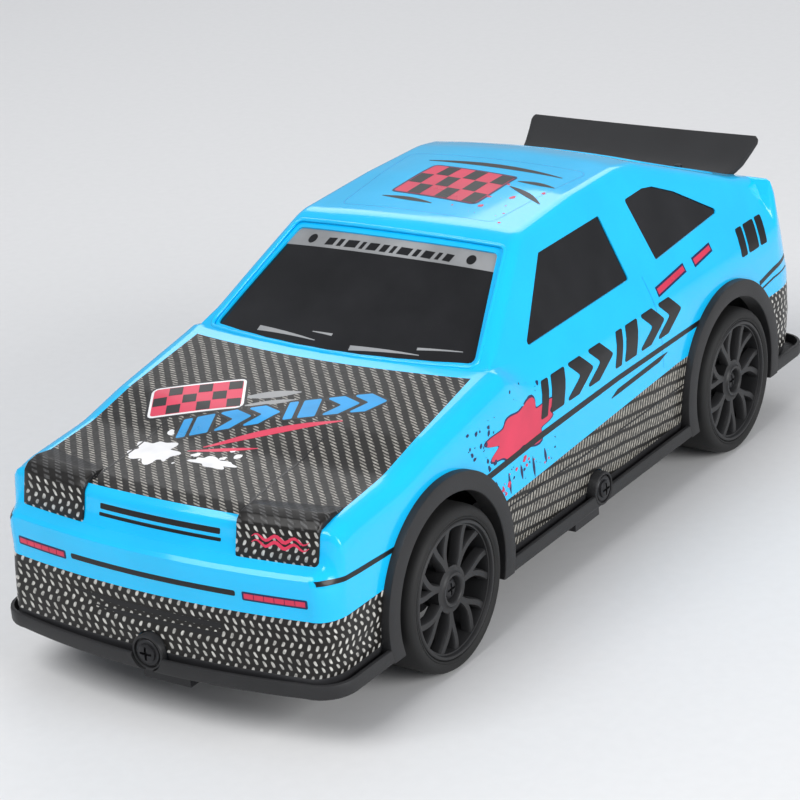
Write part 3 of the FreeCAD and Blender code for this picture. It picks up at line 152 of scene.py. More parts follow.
def bake_modifiers(obj):
    """Replace an object's mesh by its evaluated one."""
    bpy.context.view_layer.update()
    evaluated = obj.evaluated_get(bpy.context.evaluated_depsgraph_get())
    mesh = bpy.data.meshes.new_from_object(evaluated)
    obj.modifiers.clear()
    obj.data = mesh
    return obj


def ring_faces(rings, count, closed=False):
    """Quads that join each ring of points to the next; closed joins the last ring to the first."""
    faces = []
    for ring in range(rings if closed else rings - 1):
        first = ring * count
        second = (ring + 1) % rings * count
        for number in range(count):
            after = (number + 1) % count
            faces.append((first + number, first + after, second + after, second + number))
    return faces


def end_caps(rings, count):
    """The faces that close the first and the last ring."""
    total = rings * count
    return [tuple(range(count)), tuple(range(total - 1, total - count - 1, -1))]


def prism_object(name, loop, place, low, high):
    """A closed prism: a 2-D outline lifted into 3-D by place(along, across, depth) at two depths."""
    points = [place(a, b, depth) for depth in (low, high) for a, b in loop]
    return make_object(name, points, end_caps(2, len(loop)) + ring_faces(2, len(loop)))


def circle_loop(radius, centre=(0.0, 0.0), steps=64):
    """A round outline."""
    return [(centre[0] + radius * math.cos(2 * math.pi * step / steps),
             centre[1] + radius * math.sin(2 * math.pi * step / steps)) for step in range(steps)]


def joined(name, objects):
    """One mesh object made of several."""
    work = bmesh.new()
    materials = []
    for obj in objects:
        first = len(work.faces)
        shift = []
        for material in obj.data.materials:
            if material not in materials:
                materials.append(material)
            shift.append(materials.index(material))
        work.from_mesh(obj.data)
        work.faces.ensure_lookup_table()
        for face in work.faces[first:]:
            face.material_index = shift[face.material_index] if shift else 0
        bpy.data.objects.remove(obj)
    mesh = bpy.data.meshes.new(name)
    work.to_mesh(mesh)
    work.free()
    for material in materials:
        mesh.materials.append(material)
    obj = bpy.data.objects.new(name, mesh)
    bpy.context.scene.collection.objects.link(obj)
    return obj


# ------------------------------------------------ materials

class Nodes:
    """A short way to write a shader tree."""

    def __init__(self, name):
        self.material = bpy.data.materials.new(name)
        self.material.use_nodes = True
        self.tree = self.material.node_tree
        self.shader = self.tree.nodes["Principled BSDF"]
        self.coordinates = self.tree.nodes.new("ShaderNodeTexCoord").outputs["Object"]

    def link(self, source, target):
        self.tree.links.new(source, target)

    def feed(self, target, value):
        if isinstance(value, (int, float)):
            target.default_value = value
        elif isinstance(value, tuple):
            target.default_value = (*value, 1.0)
        else:
            self.link(value, target)

    def math(self, operation, first, second=0.0):
        step = self.tree.nodes.new("ShaderNodeMath")
        step.operation = operation
        self.feed(step.inputs[0], first)
        self.feed(step.inputs[1], second)
        return step.outputs[0]

    def noise(self, scale, detail):
        """Noise whose grains are about 1/scale of a millimetre across."""
        step = self.tree.nodes.new("ShaderNodeTexNoise")
        step.inputs["Scale"].default_value = scale / MM
        step.inputs["Detail"].default_value = detail
        self.link(self.coordinates, step.inputs["Vector"])
        return step.outputs[0]

    def range(self, value, low, high, to_low=0.0, to_high=1.0):
        step = self.tree.nodes.new("ShaderNodeMapRange")
        self.feed(step.inputs[0], value)
        for index, number in enumerate((low, high, to_low, to_high), start=1):
            step.inputs[index].default_value = number
        return step.outputs[0]

    def blend(self, share, first, second):
        step = self.tree.nodes.new("ShaderNodeMix")
        step.data_type = "RGBA"
        self.feed(step.inputs[0], share)
        self.feed(step.inputs[6], first)
        self.feed(step.inputs[7], second)
        return step.outputs[2]

    def axes(self):
        """The three object coordinates, in millimetres."""
        step = self.tree.nodes.new("ShaderNodeSeparateXYZ")
        self.link(self.coordinates, step.inputs[0])
        return [self.math("DIVIDE", output, MM) for output in step.outputs]

    def bump(self, height, distance, strength=1.0):
        step = self.tree.nodes.new("ShaderNodeBump")
        step.inputs["Strength"].default_value = strength
        step.inputs["Distance"].default_value = distance * MM
        self.link(height, step.inputs["Height"])
        self.link(step.outputs[0], self.shader.inputs["Normal"])

    def set(self, **sockets):
        for name, value in sockets.items():
            self.feed(self.shader.inputs[name.replace("_", " ")], value)
        return self.material


def moulded(name, colour, roughness, grain=6.0, bump=0.012, spread=0.18, coat=0.0, metallic=0.0,
             shine=0.3):
    """Moulded or painted material: faint colour drift, uneven gloss and a fine grain."""
    tree = Nodes(name)
    drift = tree.noise(0.08, 4.0)
    dark = tuple(number * (1 - spread) for number in colour)
    light = tuple(min(1.0, number * (1 + spread)) for number in colour)
    fine = tree.noise(grain, 2.0)
    tree.bump(fine, bump)
    tree.set(Base_Color=tree.blend(tree.range(drift, 0.35, 0.65), dark, light),
             Roughness=tree.range(drift, 0.3, 0.7, roughness * 0.85, min(1.0, roughness * 1.15)),
             Metallic=metallic, Specular_IOR_Level=shine)
    if coat:
        tree.shader.inputs["Coat Weight"].default_value = coat
        tree.shader.inputs["Coat Roughness"].default_value = 0.05
    return tree.material


def turned_metal(name, colour, roughness):
    """Machined metal: fine lines, small stains."""
    tree = Nodes(name)
    x, y, z = tree.axes()
    lines = tree.math("SINE", tree.math("MULTIPLY", tree.math("ADD", x, tree.math("ADD", y, z)), 22.0))
    stains = tree.noise(0.5, 4.0)
    tree.bump(lines, 0.006)
    stained = tuple(number * 0.72 for number in colour)
    tree.set(Base_Color=tree.blend(tree.range(stains, 0.35, 0.7), colour, stained),
             Roughness=tree.range(stains, 0.3, 0.7, roughness * 0.8, roughness * 1.25), Metallic=1.0)
    return tree.material


def film(tree, share, light, flecks):
    """Finish a printed weave: pale threads on charcoal under a thin gloss."""
    tree.bump(share, 0.02, 0.5)
    tree.set(Base_Color=tree.blend(share, (0.011, 0.010, 0.009), light),
             Roughness=tree.range(flecks, 0.3, 0.7, 0.34, 0.48), Specular_IOR_Level=0.22)
    tree.shader.inputs["Coat Weight"].default_value = 0.12
    tree.shader.inputs["Coat Roughness"].default_value = 0.2
    return tree.material


def ladder_film(name, first_axis, second_axis, pitch, dash, slant, skew, width, light):
    """Weave drawn as slanting ladders of short dashes; width is how much of the pitch they fill."""
    tree = Nodes(name)
    places = tree.axes()
    first = places[first_axis]
    second = places[second_axis]
    sway = tree.range(tree.noise(0.25, 2.0), 0.0, 1.0, -0.12 * pitch, 0.12 * pitch)
    ladder_place = tree.math("ADD", tree.math("ADD", first, sway), tree.math("MULTIPLY", second, slant))
    ladder = tree.math("SINE", tree.math("MULTIPLY", ladder_place, 2 * math.pi / pitch))
    rung_place = tree.math("ADD", second, tree.math("MULTIPLY", first, skew))
    rung = tree.math("SINE", tree.math("MULTIPLY", rung_place, 2 * math.pi / dash))
    edge = math.sin(math.pi / 2 - math.pi * width)
    threads = tree.math("MULTIPLY", tree.range(ladder, edge - 0.25, edge + 0.25), tree.range(rung, -0.5, 0.5))
    flecks = tree.noise(1.3, 3.0)
    return film(tree, tree.math("MULTIPLY", threads, tree.range(flecks, 0.32, 0.68, 0.3, 1.0)), light, flecks)


def fleck_film(name, across, up, light):
    """Weave drawn as staggered leaf-shaped flecks that lean alternately and carry on round a corner."""
    tree = Nodes(name)
    x, y, z = tree.axes()
    wobble = tree.range(tree.noise(0.5, 2.0), 0.0, 1.0, -0.35, 0.35)
    second = tree.math("ADD", z, wobble)
    row = tree.math("SINE", tree.math("MULTIPLY", second, math.pi / up))
    first = tree.math("ADD", tree.math("ADD", x, y), tree.math("MULTIPLY", row, 0.34 * across))
    leaves = tree.math("MULTIPLY", tree.math("SINE", tree.math("MULTIPLY", first, 2 * math.pi / across)),
                       tree.math("SINE", tree.math("MULTIPLY", second, 2 * math.pi / up)))
    flecks = tree.noise(1.1, 3.0)
    share = tree.math("MULTIPLY", tree.range(leaves, 0.3, 0.62), tree.range(flecks, 0.3, 0.65, 0.35, 1.0))
    return film(tree, share, light, flecks)


BLUE = (0.004, 0.50, 0.90)
INK = (0.006, 0.006, 0.007)
PINK = (0.62, 0.035, 0.085)
shell_paint = moulded("shell_paint", BLUE, 0.20, grain=0.5, bump=0.006, spread=0.03, coat=0.55, shine=0.25)
# Near-black print ink; the headlight covers also use it as painted shade on their side caps.
black_ink = moulded("black_ink", INK, 0.32, grain=2.0, bump=0.004, coat=0.08)
navy_ink = moulded("navy_ink", (0.008, 0.02, 0.08), 0.32, grain=2.0, bump=0.004, coat=0.08)
pink_ink = moulded("pink_ink", PINK, 0.3, grain=1.2, bump=0.004, spread=0.12, coat=0.08)
white_ink = moulded("white_ink", (0.75, 0.75, 0.76), 0.32, grain=1.2, bump=0.004, coat=0.08)
grey_ink = moulded("grey_ink", (0.28, 0.285, 0.29), 0.34, grain=1.5, bump=0.004, coat=0.08)
blue_ink = moulded("blue_ink", (0.004, 0.30, 0.68), 0.3, grain=1.2, bump=0.004, coat=0.08)
carbon_hood = ladder_film("carbon_hood", 0, 1, 2.75, 0.62, 0.9, 0.2, 0.44, (0.42, 0.40, 0.36))
carbon_front = fleck_film("carbon_front", 1.8, 2.6, (0.62, 0.61, 0.57))
carbon_side = ladder_film("carbon_side", 2, 1, 2.5, 1.05, 0.12, -0.42, 0.7, (0.44, 0.42, 0.37))
pod_top = ladder_film("pod_top", 0, 1, 2.75, 0.62, 0.9, 0.2, 0.44, (0.10, 0.10, 0.10))
glass_dark = moulded("glass_dark", (0.010, 0.010, 0.011), 0.14, grain=0.3, bump=0.002, spread=0.3, coat=0.15)
trim = moulded("trim", (0.021, 0.021, 0.022), 0.48, grain=7.0, bump=0.02)
spoiler_matt = moulded("spoiler_matt", (0.021, 0.021, 0.022), 0.6, grain=9.0, bump=0.03)
rim_satin = moulded("rim_satin", (0.024, 0.024, 0.025), 0.42, grain=7.0, bump=0.015)
rubber = moulded("rubber", (0.013, 0.013, 0.013), 0.62, grain=5.0, bump=0.03)
screw_black = moulded("screw_black", (0.03, 0.03, 0.032), 0.38, grain=5.0, bump=0.01, metallic=0.6)
# Dark chassis plastic; the shell also wears it as painted shade inside its wall and on its lowest band.
chassis_plastic = moulded("chassis_plastic", (0.03, 0.03, 0.032), 0.5, grain=6.0, bump=0.03)

NODE_LOOKS = {
    "chassis_black": chassis_plastic,
    "trim_black": trim,
    "screw_black": screw_black,
    "steel": turned_metal("ground_steel", (0.56, 0.56, 0.58), 0.3),
    "bronze": turned_metal("turned_bronze", (0.52, 0.34, 0.16), 0.34),
    "gear_white": moulded("nylon", (0.78, 0.76, 0.70), 0.45, grain=3.0, bump=0.01, spread=0.05),
    "motor_steel": turned_metal("plated_steel", (0.6, 0.61, 0.63), 0.26),
    "motor_cap": moulded("cap_plastic", (0.05, 0.05, 0.055), 0.5, grain=6.0, bump=0.02),
    "battery_wrap": moulded("shrink_film", (0.02, 0.11, 0.05), 0.28, grain=0.6, bump=0.05, spread=0.2,
                            coat=0.4),
    "board_green": moulded("solder_mask", (0.01, 0.12, 0.05), 0.35, grain=1.5, bump=0.02, spread=0.3),
    "component_black": moulded("chip_plastic", (0.02, 0.02, 0.022), 0.5, grain=6.0, bump=0.02),
    "switch_red": moulded("switch_red", (0.45, 0.02, 0.02), 0.4, grain=5.0, bump=0.02),
    "shell_blue": shell_paint, "glazing": glass_dark, "rim_grey": rim_satin, "tyre_rubber": rubber,
}


def dress_cad_nodes():
    """Give every carried-over CAD node the finish of its slot."""
    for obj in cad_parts.values():
        for holder in obj.material_slots:
            label = holder.material.name.split(".")[0] if holder.material else ""
            for slot_name, look in NODE_LOOKS.items():
                if label.startswith(slot_name):
                    holder.material = look


# ------------------------------------------------ the shell's form

SIDE_X = 35.3
GLASS_HALF = 32.1
GLASS_FOOT = 46.8
SHOULDER_X = 31.95
SHOULDER_Z = 45.6
LEAN = 0.46
ROOF_CORNERS = [
    (-81.6, 37.9, 0), (-78.6, 38.6, 6), (-63.8, 40.0, 24), (-52.9, 42.7, 24), (-30.2, 46.9, 2.5),
    (-4.9, 63.7, 7), (16.0, 65.2, 60), (34.0, 65.5, 24), (40.0, 64.6, 12), (46.0, 62.5, 16),
    (72.0, 53.0, 30), (78.6, 51.2, 0)]
BOW = [(-82.0, 2.8), (-60.0, 3.2), (-30.0, 5.0), (-5.0, 1.8), (20.0, 0.0), (78.0, -1.2)]
BOW_REACH = 32.0
CROWN = [(-82.0, 0.5), (-60.0, 0.9), (-30.0, 0.7), (-5.0, 0.8), (36.0, 0.9), (60.0, 0.6), (78.6, 0.3)]
CARBON_EDGE = [(-82.0, 31.6), (-52.0, 31.2), (-31.0, 30.2)]
CARBON_REAR = -32.9
EDGE_RADIUS = 3.0
FRONT_LEVELS = [
    (0.0, 37.9), (-0.55, 37.75), (-0.95, 37.35), (-1.2, 36.8), (-1.35, 36.0), (-1.75, 34.0), (-2.15, 32.6),
    (-2.6, 31.95), (-3.7, 31.5), (-4.7, 31.1), (-5.25, 30.4), (-5.4, 29.2), (-5.3, 26.0), (-5.3, 23.2),
    (-5.7, 20.2), (-6.3, 16.5), (-6.8, 13.6), (-6.3, 11.4)]
REAR_LEVELS = [
    (0.0, 51.2), (1.1, 50.9), (2.0, 50.2), (2.8, 49.1), (3.5, 47.8), (4.7, 45.3), (5.9, 42.2), (7.0, 39.0),
    (7.9, 36.0), (8.6, 33.4), (9.3, 31.7), (9.9, 30.4), (10.1, 28.4), (10.1, 26.6), (10.2, 20.2),
    (10.0, 16.5), (9.7, 13.6), (9.2, 11.4)]
ROUND_LEVELS = 4
CARBON_LEVEL = 13
GAP_SHADE_LEVEL = 16
FLECK_ENDS = (-66.0, 71.0)
CARBON_LINE = [(-34.0, 23.2), (33.0, 26.4), (70.0, 26.7)]
TOP_SHARES = [0.0, 0.12, 0.24, 0.36, 0.47, 0.58, 0.68, 0.77, 0.85, 0.91, 0.96, 1.0]
EDGE_STEPS = 6
SIDE_STEPS = 10
CORNER_SOFT = [(0, 0.3), (2, 1.6), (4, 3.0), (8, 4.0), (17, 4.2)]


def roof_rows():
    """(y, z) of the rows at the car's side, from the hood's lip to the deck's lip."""
    rows = [ROOF_CORNERS[0][:2]]
    for before, corner, after in zip(ROOF_CORNERS, ROOF_CORNERS[1:], ROOF_CORNERS[2:]):
        rows += arc_corner(before[:2], corner[:2], after[:2], corner[2], 5)
    rows.append(ROOF_CORNERS[-1][:2])
    filled = [rows[0]]
    for row in rows[1:]:
        last = filled[-1]
        steps = max(1, math.ceil((row[0] - last[0]) / 2.0))
        if row[0] - last[0] < 0.02:
            continue
        filled += [tuple(mix(a, b, step / steps) for a, b in zip(last, row)) for step in range(1, steps + 1)]
    filled.append((CARBON_REAR, along([row for row in filled], CARBON_REAR)))
    return sorted(filled)


def shoulder(top):
    """(x, z) where the section starts to round over into the car's side."""
    rise = ease((top - GLASS_FOOT) / 7.0)
    height = mix(min(top, GLASS_FOOT + 0.1), SHOULDER_Z, rise)
    across = SHOULDER_X if top < GLASS_FOOT else GLASS_HALF - LEAN * (height - GLASS_FOOT)
    return across, height


def half_section(y, top):
    """(x, z) points of the upper section, from the middle out to the shoulder."""
    start = shoulder(top)
    height = max(top - GLASS_FOOT, 0.0)
    edge = (GLASS_HALF - LEAN * height, top) if height > 0 else start
    crown = along(CROWN, y)
    bend = arc_corner((0.0, top), edge, start, EDGE_RADIUS, EDGE_STEPS) if height > 0.3 else None
    carbon_x = along(CARBON_EDGE, y)
    if bend is None:
        steps = EDGE_STEPS + SIDE_STEPS
        flat = [(mix(carbon_x, start[0], step / steps), mix(top, start[1], step / steps))
                for step in range(steps + 1)]
        lead = carbon_x
        rest = flat[1:]
    else:
        lead = min(mix(carbon_x, bend[0][0], ease(height / 6.0)), bend[0][0])
        rest = bend[1:]
        rest += [tuple(mix(a, b, step / SIDE_STEPS) for a, b in zip(bend[-1], start))
                 for step in range(1, SIDE_STEPS + 1)]
    points = [(lead * share, top + crown * (1 - (lead * share / edge[0]) ** 2) * (1 - share ** 8))
              for share in TOP_SHARES]
    return points + rest


def bowed(x, y):
    """The y of a row at x, for rows that bow ahead or back in the middle."""
    return y - along(BOW, y) * (1 - min(1.0, (x / BOW_REACH) ** 2))


def side_point(y, top, level):
    """A point of the car's side at one of the band's levels."""
    start = shoulder(top)
    cabin = ease((top - GLASS_FOOT) / 7.0)
    knee = mix(start[1], GLASS_FOOT - (SIDE_X - GLASS_HALF) / LEAN, cabin)
    foot = mix(start[1] - 4.2, 36.6, cabin)
    if level <= ROUND_LEVELS:
        share = level / ROUND_LEVELS
        blend = [(1 - share) ** 2, 2 * share * (1 - share), share ** 2]
        across = blend[0] * start[0] + blend[1] * SIDE_X + blend[2] * SIDE_X
        height = blend[0] * start[1] + blend[1] * knee + blend[2] * foot
        return across, y, height
    line = along(CARBON_LINE, y)
    if level <= CARBON_LEVEL:
        share = (level - ROUND_LEVELS) / (CARBON_LEVEL - ROUND_LEVELS)
        return SIDE_X, y, mix(foot, line, share)
    lower = {14: (SIDE_X + 0.08, 20.2), 15: (SIDE_X - 0.15, 16.5), 16: (SIDE_X - 0.35, 13.4),
             17: (SIDE_X - 0.85, 11.4)}
    across, height = lower[level]
    return across, y, height


def corner_point(level, share, levels, row, end):
    """A point on the rounded plan corner: share 0 on the front or rear face, 1 on the side."""
    side = side_point(row[0], row[1], level)
    shift, height = levels[level]
    soft = along(CORNER_SOFT, level)
    face_x = side[0] - soft
    face_y = bowed(face_x, row[0] + shift) if end < 0 else bowed(face_x, row[0]) + shift
    turn = share * math.pi / 2
    across = face_x + (side[0] - face_x) * math.sin(turn)
    ahead = face_y + (side[1] - face_y) * (1 - math.cos(turn))
    return across, ahead, mix(height, side[2], ease(share))


def shell_surface():
    """Points, quads and paint of the shell's outer surface: a top patch and a band of rings below its rim."""
    rows = roof_rows()
    sections = [half_section(y, top) for y, top in rows]
    columns = len(sections[0])
    straight = len(TOP_SHARES)
    points = []
    index = {}

    def add(key, point):
        if key not in index:
            index[key] = len(points)
            points.append(point)
        return index[key]

    def patch(row, column):
        side = -1 if column < 0 else 1
        x, z = sections[row][abs(column)]
        return add(("top", row, column), (side * x, bowed(x, rows[row][0]), z))

    last_row = len(rows) - 1
    last = columns - 1
    rim = ([("front", column) for column in range(-last, last)] + [("left", row) for row in range(last_row)]
           + [("rear", column) for column in range(last, -last, -1)]
           + [("right", row) for row in range(last_row, 0, -1)])

    def ring(level, spot):
        face, number = spot
        if level == 0:
            if face in ("front", "rear"):
                return patch(0 if face == "front" else last_row, number)
            return patch(number, last if face == "left" else -last)
        if face in ("left", "right"):
            side = 1 if face == "left" else -1
            x, y, z = side_point(*rows[number], level)
            if number == 0:
                x, y, z = corner_point(level, 1.0, FRONT_LEVELS, rows[0], -1)
            return add((level, spot), (side * x, y, z))
        end = -1 if face == "front" else 1
        levels = FRONT_LEVELS if end < 0 else REAR_LEVELS
        row = rows[0] if end < 0 else rows[last_row]
        side = 1 if number > 0 else -1
        column = abs(number)
        if column < straight:
            shift, height = levels[level]
            reach = corner_point(level, 0.0, levels, row, end)[0]
            x = TOP_SHARES[column] * reach
            y = bowed(x, row[0] + shift) if end < 0 else bowed(x, row[0]) + shift
            return add((level, spot), (side * x, y, height))
        share = (column - straight + 1) / (columns - straight)
        x, y, z = corner_point(level, share, levels, row, end)
        return add((level, spot), (side * x, y, z))

    faces = []
    paints = []
    for row in range(last_row):
        for column in range(-last, last):
            faces.append((patch(row, column), patch(row, column + 1), patch(row + 1, column + 1),
                          patch(row + 1, column)))
            inner = max(abs(column), abs(column + 1)) < straight
            paints.append(1 if inner and rows[row + 1][0] <= CARBON_REAR + 0.01 else 0)
    for level in range(len(FRONT_LEVELS) - 1):
        for spot, following in zip(rim, rim[1:] + rim[:1]):
            faces.append((ring(level, spot), ring(level + 1, spot), ring(level + 1, following),
                          ring(level, following)))
            between_arches = spot[0] in ("left", "right") and FLECK_ENDS[0] < rows[spot[1]][0] < FLECK_ENDS[1]
            paint = 3 if between_arches else 2
            if level < CARBON_LEVEL:
                paint = 0
            # Painted shade: the lowest band, tucked in above the skirt, is dark to stand for the shadowed gap
            # between shell and skirt.
            elif level == GAP_SHADE_LEVEL:
                paint = 4
            paints.append(paint)
    return points, faces, paints


VIEWS = {
    "top": (lambda a, b, depth: (a, b, depth), 90.0, (0, 0, -1)),
    "front": (lambda a, b, depth: (a, depth, b), -130.0, (0, 1, 0)),
    "rear": (lambda a, b, depth: (a, depth, b), 130.0, (0, -1, 0)),
    "left": (lambda a, b, depth: (depth, a, b), 60.0, (-1, 0, 0)),
    "right": (lambda a, b, depth: (depth, a, b), -60.0, (1, 0, 0)),
}
surface_points, surface_faces, surface_paints = shell_surface()
surface_tree = BVHTree.FromPolygons([Vector(point) for point in surface_points], surface_faces)


def sheet_mesh(shapes, view, lift, thick, cell):
    """Points and faces of thin sheets that follow the shell's surface under 2-D outlines (with holes)."""
    place, start, heading = VIEWS[view]
    heading = Vector(heading)
    work = bmesh.new()
    for loops in shapes:
        corners = [Vector((a, b, 0)) for loop in loops for a, b in loop]
        made = [work.verts.new(corner) for corner in corners]
        for triangle in tessellate_polygon([[Vector((a, b, 0)) for a, b in loop] for loop in loops]):
            if len(set(triangle)) == 3:
                try:
                    work.faces.new([made[number] for number in triangle])
                except ValueError:
                    continue
    for axis in (0, 1):
        values = [vertex.co[axis] for vertex in work.verts]
        line = math.ceil(min(values) / cell) * cell
        while line < max(values):
            normal = Vector((1, 0, 0)) if axis == 0 else Vector((0, 1, 0))
            bmesh.ops.bisect_plane(work, geom=work.verts[:] + work.edges[:] + work.faces[:], dist=1e-4,
                                   plane_co=normal * line, plane_no=normal)
            line += cell
    work.verts.ensure_lookup_table()
    work.verts.index_update()
    upper = []
    lower = []
    for vertex in work.verts:
        origin = Vector(place(vertex.co.x, vertex.co.y, start))
        spot, normal, _, _ = surface_tree.ray_cast(origin, heading)
        if spot is None:
            spot = origin + heading * (abs(start) - 34.0)
            normal = -heading
        if normal.dot(heading) > 0:
            normal = -normal
        upper.append(tuple(spot + normal * lift))
        lower.append(tuple(spot + normal * (lift - thick)))
    count = len(upper)
    faces = []
    for face in work.faces:
        ring = [vertex.index for vertex in face.verts]
        faces += [tuple(ring), tuple(count + number for number in reversed(ring))]
    for edge in work.edges:
        if len(edge.link_faces) == 1:
            first, second = (vertex.index for vertex in edge.verts)
            faces.append((first, second, count + second, count + first))
    work.free()
    return upper + lower, faces


def surface_piece(name, shapes, view, material, slot, lift=0.05, thick=0.12, cell=1.6, nodes=()):
    """A printed or inset sheet on the shell, riding with the body; a shape is an outline and its holes."""
    points, faces = sheet_mesh(shapes, view, lift, thick, cell)
    obj = make_object(name, points, faces, [material])
    return piece(obj, "chassis", slot, *nodes)


def printed(name, loops, view, ink, lift=0.03, thick=0.09, cell=1.6):
    """Outlines without holes, printed on the painted shell."""
    return surface_piece(name, [[loop] for loop in loops], view, ink, "shell_blue", lift, thick, cell)


# ------------------------------------------------ shell, windows

AXLE_YS = (-52.6, 55.4)
ARCH_Z = 15.6
BOSS_Z = 13.2
SHELL_WALL = 1.1
# Radii of the openings: in the shell over a wheel, in the skirt over a wheel, in the skirt where a
# steered tyre swings, in the shell round a screw boss, and in the skirt round a screw boss.
ARCH_OPENING = 17.6
SKIRT_OPENING = 17.05
SWING_OPENING = 18.8
BOSS_OPENING = 3.5
NOTCH_OPENING = 3.3
DOOR_WINDOW = [(-17.4, 46.9), (21.6, 47.3), (20.8, 59.7), (-2.0, 59.4)]
QUARTER_WINDOW = [(32.9, 47.6), (61.4, 49.2), (48.6, 56.6), (42.0, 59.4), (38.4, 60.0), (31.2, 59.8)]


def bowed_line(half, y, bow, steps):
    """Points across the car from -half to half, bowed toward the nose in the middle."""
    places = [2 * step / steps - 1 for step in range(steps + 1)]
    return [(half * place, y - bow * (1 - place ** 2)) for place in places]


def screen_outline(foot_half, foot_y, head_half, head_y, foot_bow, head_bow, soften=1.6):
    """A windscreen or rear window seen from above: its ends bow along the car."""
    foot = bowed_line(foot_half, foot_y, foot_bow, 8)
    head = bowed_line(head_half, head_y, head_bow, 8)[::-1]
    return rounded_loop(foot + head, soften, 3)


SCREEN_FOOT_HALF = 28.7
SCREEN_FOOT_Y = -29.7
SCREEN_FOOT_BOW = 4.6
SCREEN_FRAME = screen_outline(SCREEN_FOOT_HALF + 1.0, SCREEN_FOOT_Y - 0.7, 23.3, -8.1, SCREEN_FOOT_BOW, 1.1)
SCREEN_GLASS = screen_outline(SCREEN_FOOT_HALF, SCREEN_FOOT_Y, 22.2, -9.5, SCREEN_FOOT_BOW, 1.1, 1.1)
REAR_FRAME = screen_outline(20.6, 47.2, 24.0, 73.6, 0.2, -0.8)
REAR_GLASS = screen_outline(19.6, 48.4, 22.8, 72.2, 0.2, -0.7, 1.1)
SIDE_WINDOWS = [rounded_loop(DOOR_WINDOW, 0.5, 2), rounded_loop(QUARTER_WINDOW, 0.5, 2)]


def grown(loop, amount):
    """An outline moved outward by about the given amount."""
    centre = Vector((sum(a for a, _ in loop) / len(loop), sum(b for _, b in loop) / len(loop)))
    result = []
    for a, b in loop:
        away = Vector((a, b)) - centre
        result.append(tuple(centre + away * (1 + amount / max(away.length, 1.0))))
    return result


def shell():
    """The painted shell: a wall inside the outer surface, with openings for wheels, windows and screws."""
    paints = [shell_paint, carbon_hood, carbon_front, carbon_side, chassis_plastic]
    obj = make_object("shell", surface_points, surface_faces, paints, surface_paints, 30.0)
    # Painted shade: the wall's inner faces and cut edges take the dark chassis plastic instead of the blue, so
    # the inside of the shell and the wheel arches show dark as if in shadow.
    wall = obj.modifiers.new("wall", "SOLIDIFY")
    wall.material_offset = paints.index(chassis_plastic)
    wall.material_offset_rim = paints.index(chassis_plastic)
    wall.thickness = SHELL_WALL * MM
    wall.offset = -1
    bake_modifiers(obj)
    top, left, front = (VIEWS[view][0] for view in ("top", "left", "front"))
    boolean(obj, prism_object("screen_hole", SCREEN_FRAME, top, 44, 70))
    boolean(obj, prism_object("rear_hole", REAR_FRAME, top, 48, 70))
    for loop in SIDE_WINDOWS:
        boolean(obj, prism_object("side_hole", loop, left, -40, 40))
    for axle_y in AXLE_YS:
        arch = circle_loop(ARCH_OPENING, (axle_y, ARCH_Z), 72)
        boolean(obj, prism_object("arch_hole", arch, left, -40, 40))
    boss_hole = circle_loop(BOSS_OPENING, (0.0, BOSS_Z), 32)
    boolean(obj, prism_object("side_boss_hole", boss_hole, left, -40, 40))
    boolean(obj, prism_object("end_boss_hole", boss_hole, front, -100, 100))
    finish_mesh(obj, 30.0)
    return piece(obj, "chassis", "shell_blue", "body_shell")


def bead(name, loop, radius=0.42, steps=8):
    """A round painted bead that follows the shell under a closed line seen from above."""
    line = []
    for a, b in loop:
        if not line or (Vector((a, b)) - Vector(line[-1])).length > 0.25:
            line.append((a, b))
    points = []
    for index, (a, b) in enumerate(line):
        spot, normal, _, _ = surface_tree.ray_cast(Vector((a, b, 90.0)), Vector((0, 0, -1)))
        run = Vector(line[(index + 1) % len(line)]) - Vector(line[index - 1])
        across = Vector((run.y, -run.x, 0)).normalized()
        across = (across - normal * across.dot(normal)).normalized()
        for step in range(steps):
            angle = 2 * math.pi * step / steps
            away = (across * math.cos(angle) + normal * math.sin(angle)) * radius
            points.append(tuple(spot - normal * 0.1 + away))
    obj = make_object(name, points, ring_faces(len(line), steps, closed=True), [shell_paint], None, 60.0)
    return piece(obj, "chassis", "shell_blue")


def windows():
    """Glass set back behind the shell, with stepped frames at the two ends."""
    bead("screen_bead", SCREEN_FRAME)
    bead("rear_bead", REAR_FRAME, 0.36)
    for name, frame_loop, glass_loop in (("screen_frame", SCREEN_FRAME, SCREEN_GLASS),
                                         ("rear_frame", REAR_FRAME, REAR_GLASS)):
        surface_piece(name, [[frame_loop, glass_loop]], "top", shell_paint, "shell_blue", -0.45, 0.65)
    surface_piece("windscreen", [[grown(SCREEN_GLASS, 0.5)]], "top", glass_dark, "glazing", -0.85, 0.5,
                  nodes=("windscreen_panel",))
    surface_piece("rear_window", [[grown(REAR_GLASS, 0.5)]], "top", glass_dark, "glazing", -0.85, 0.5,
                  nodes=("rear_window_panel",))
    for side in ("left", "right"):
        nodes = ("side_window_panels",) if side == "left" else ()
        surface_piece(f"side_windows_{side}", [[grown(loop, 0.4)] for loop in SIDE_WINDOWS], side, glass_dark,
                      "glazing", -0.25, 0.6, nodes=nodes)


# ------------------------------------------------ headlight covers

POD_NEAR = 16.3
POD_FAR = 31.6


def pod_profile(x):
    """The (y, z) loop of a headlight cover at one place across the car."""
    corners = [(-84.3, 31.75, 0.3), (-83.1, 38.0, 0.9), (-81.9, 39.1, 0.9), (-79.4, 39.6, 2.0),
               (-73.4, 38.7, 0.1), (-73.0, 37.0, 0.1), (-81.0, 35.0, 0.1), (-81.6, 31.9, 0.1)]
    loop = []
    for index, (y, z, radius) in enumerate(corners):
        before = corners[index - 1][:2]
        after = corners[(index + 1) % len(corners)][:2]
        loop += arc_corner(before, (y, z), after, radius, 3)
    return [(bowed(x, y), z) for y, z in loop]


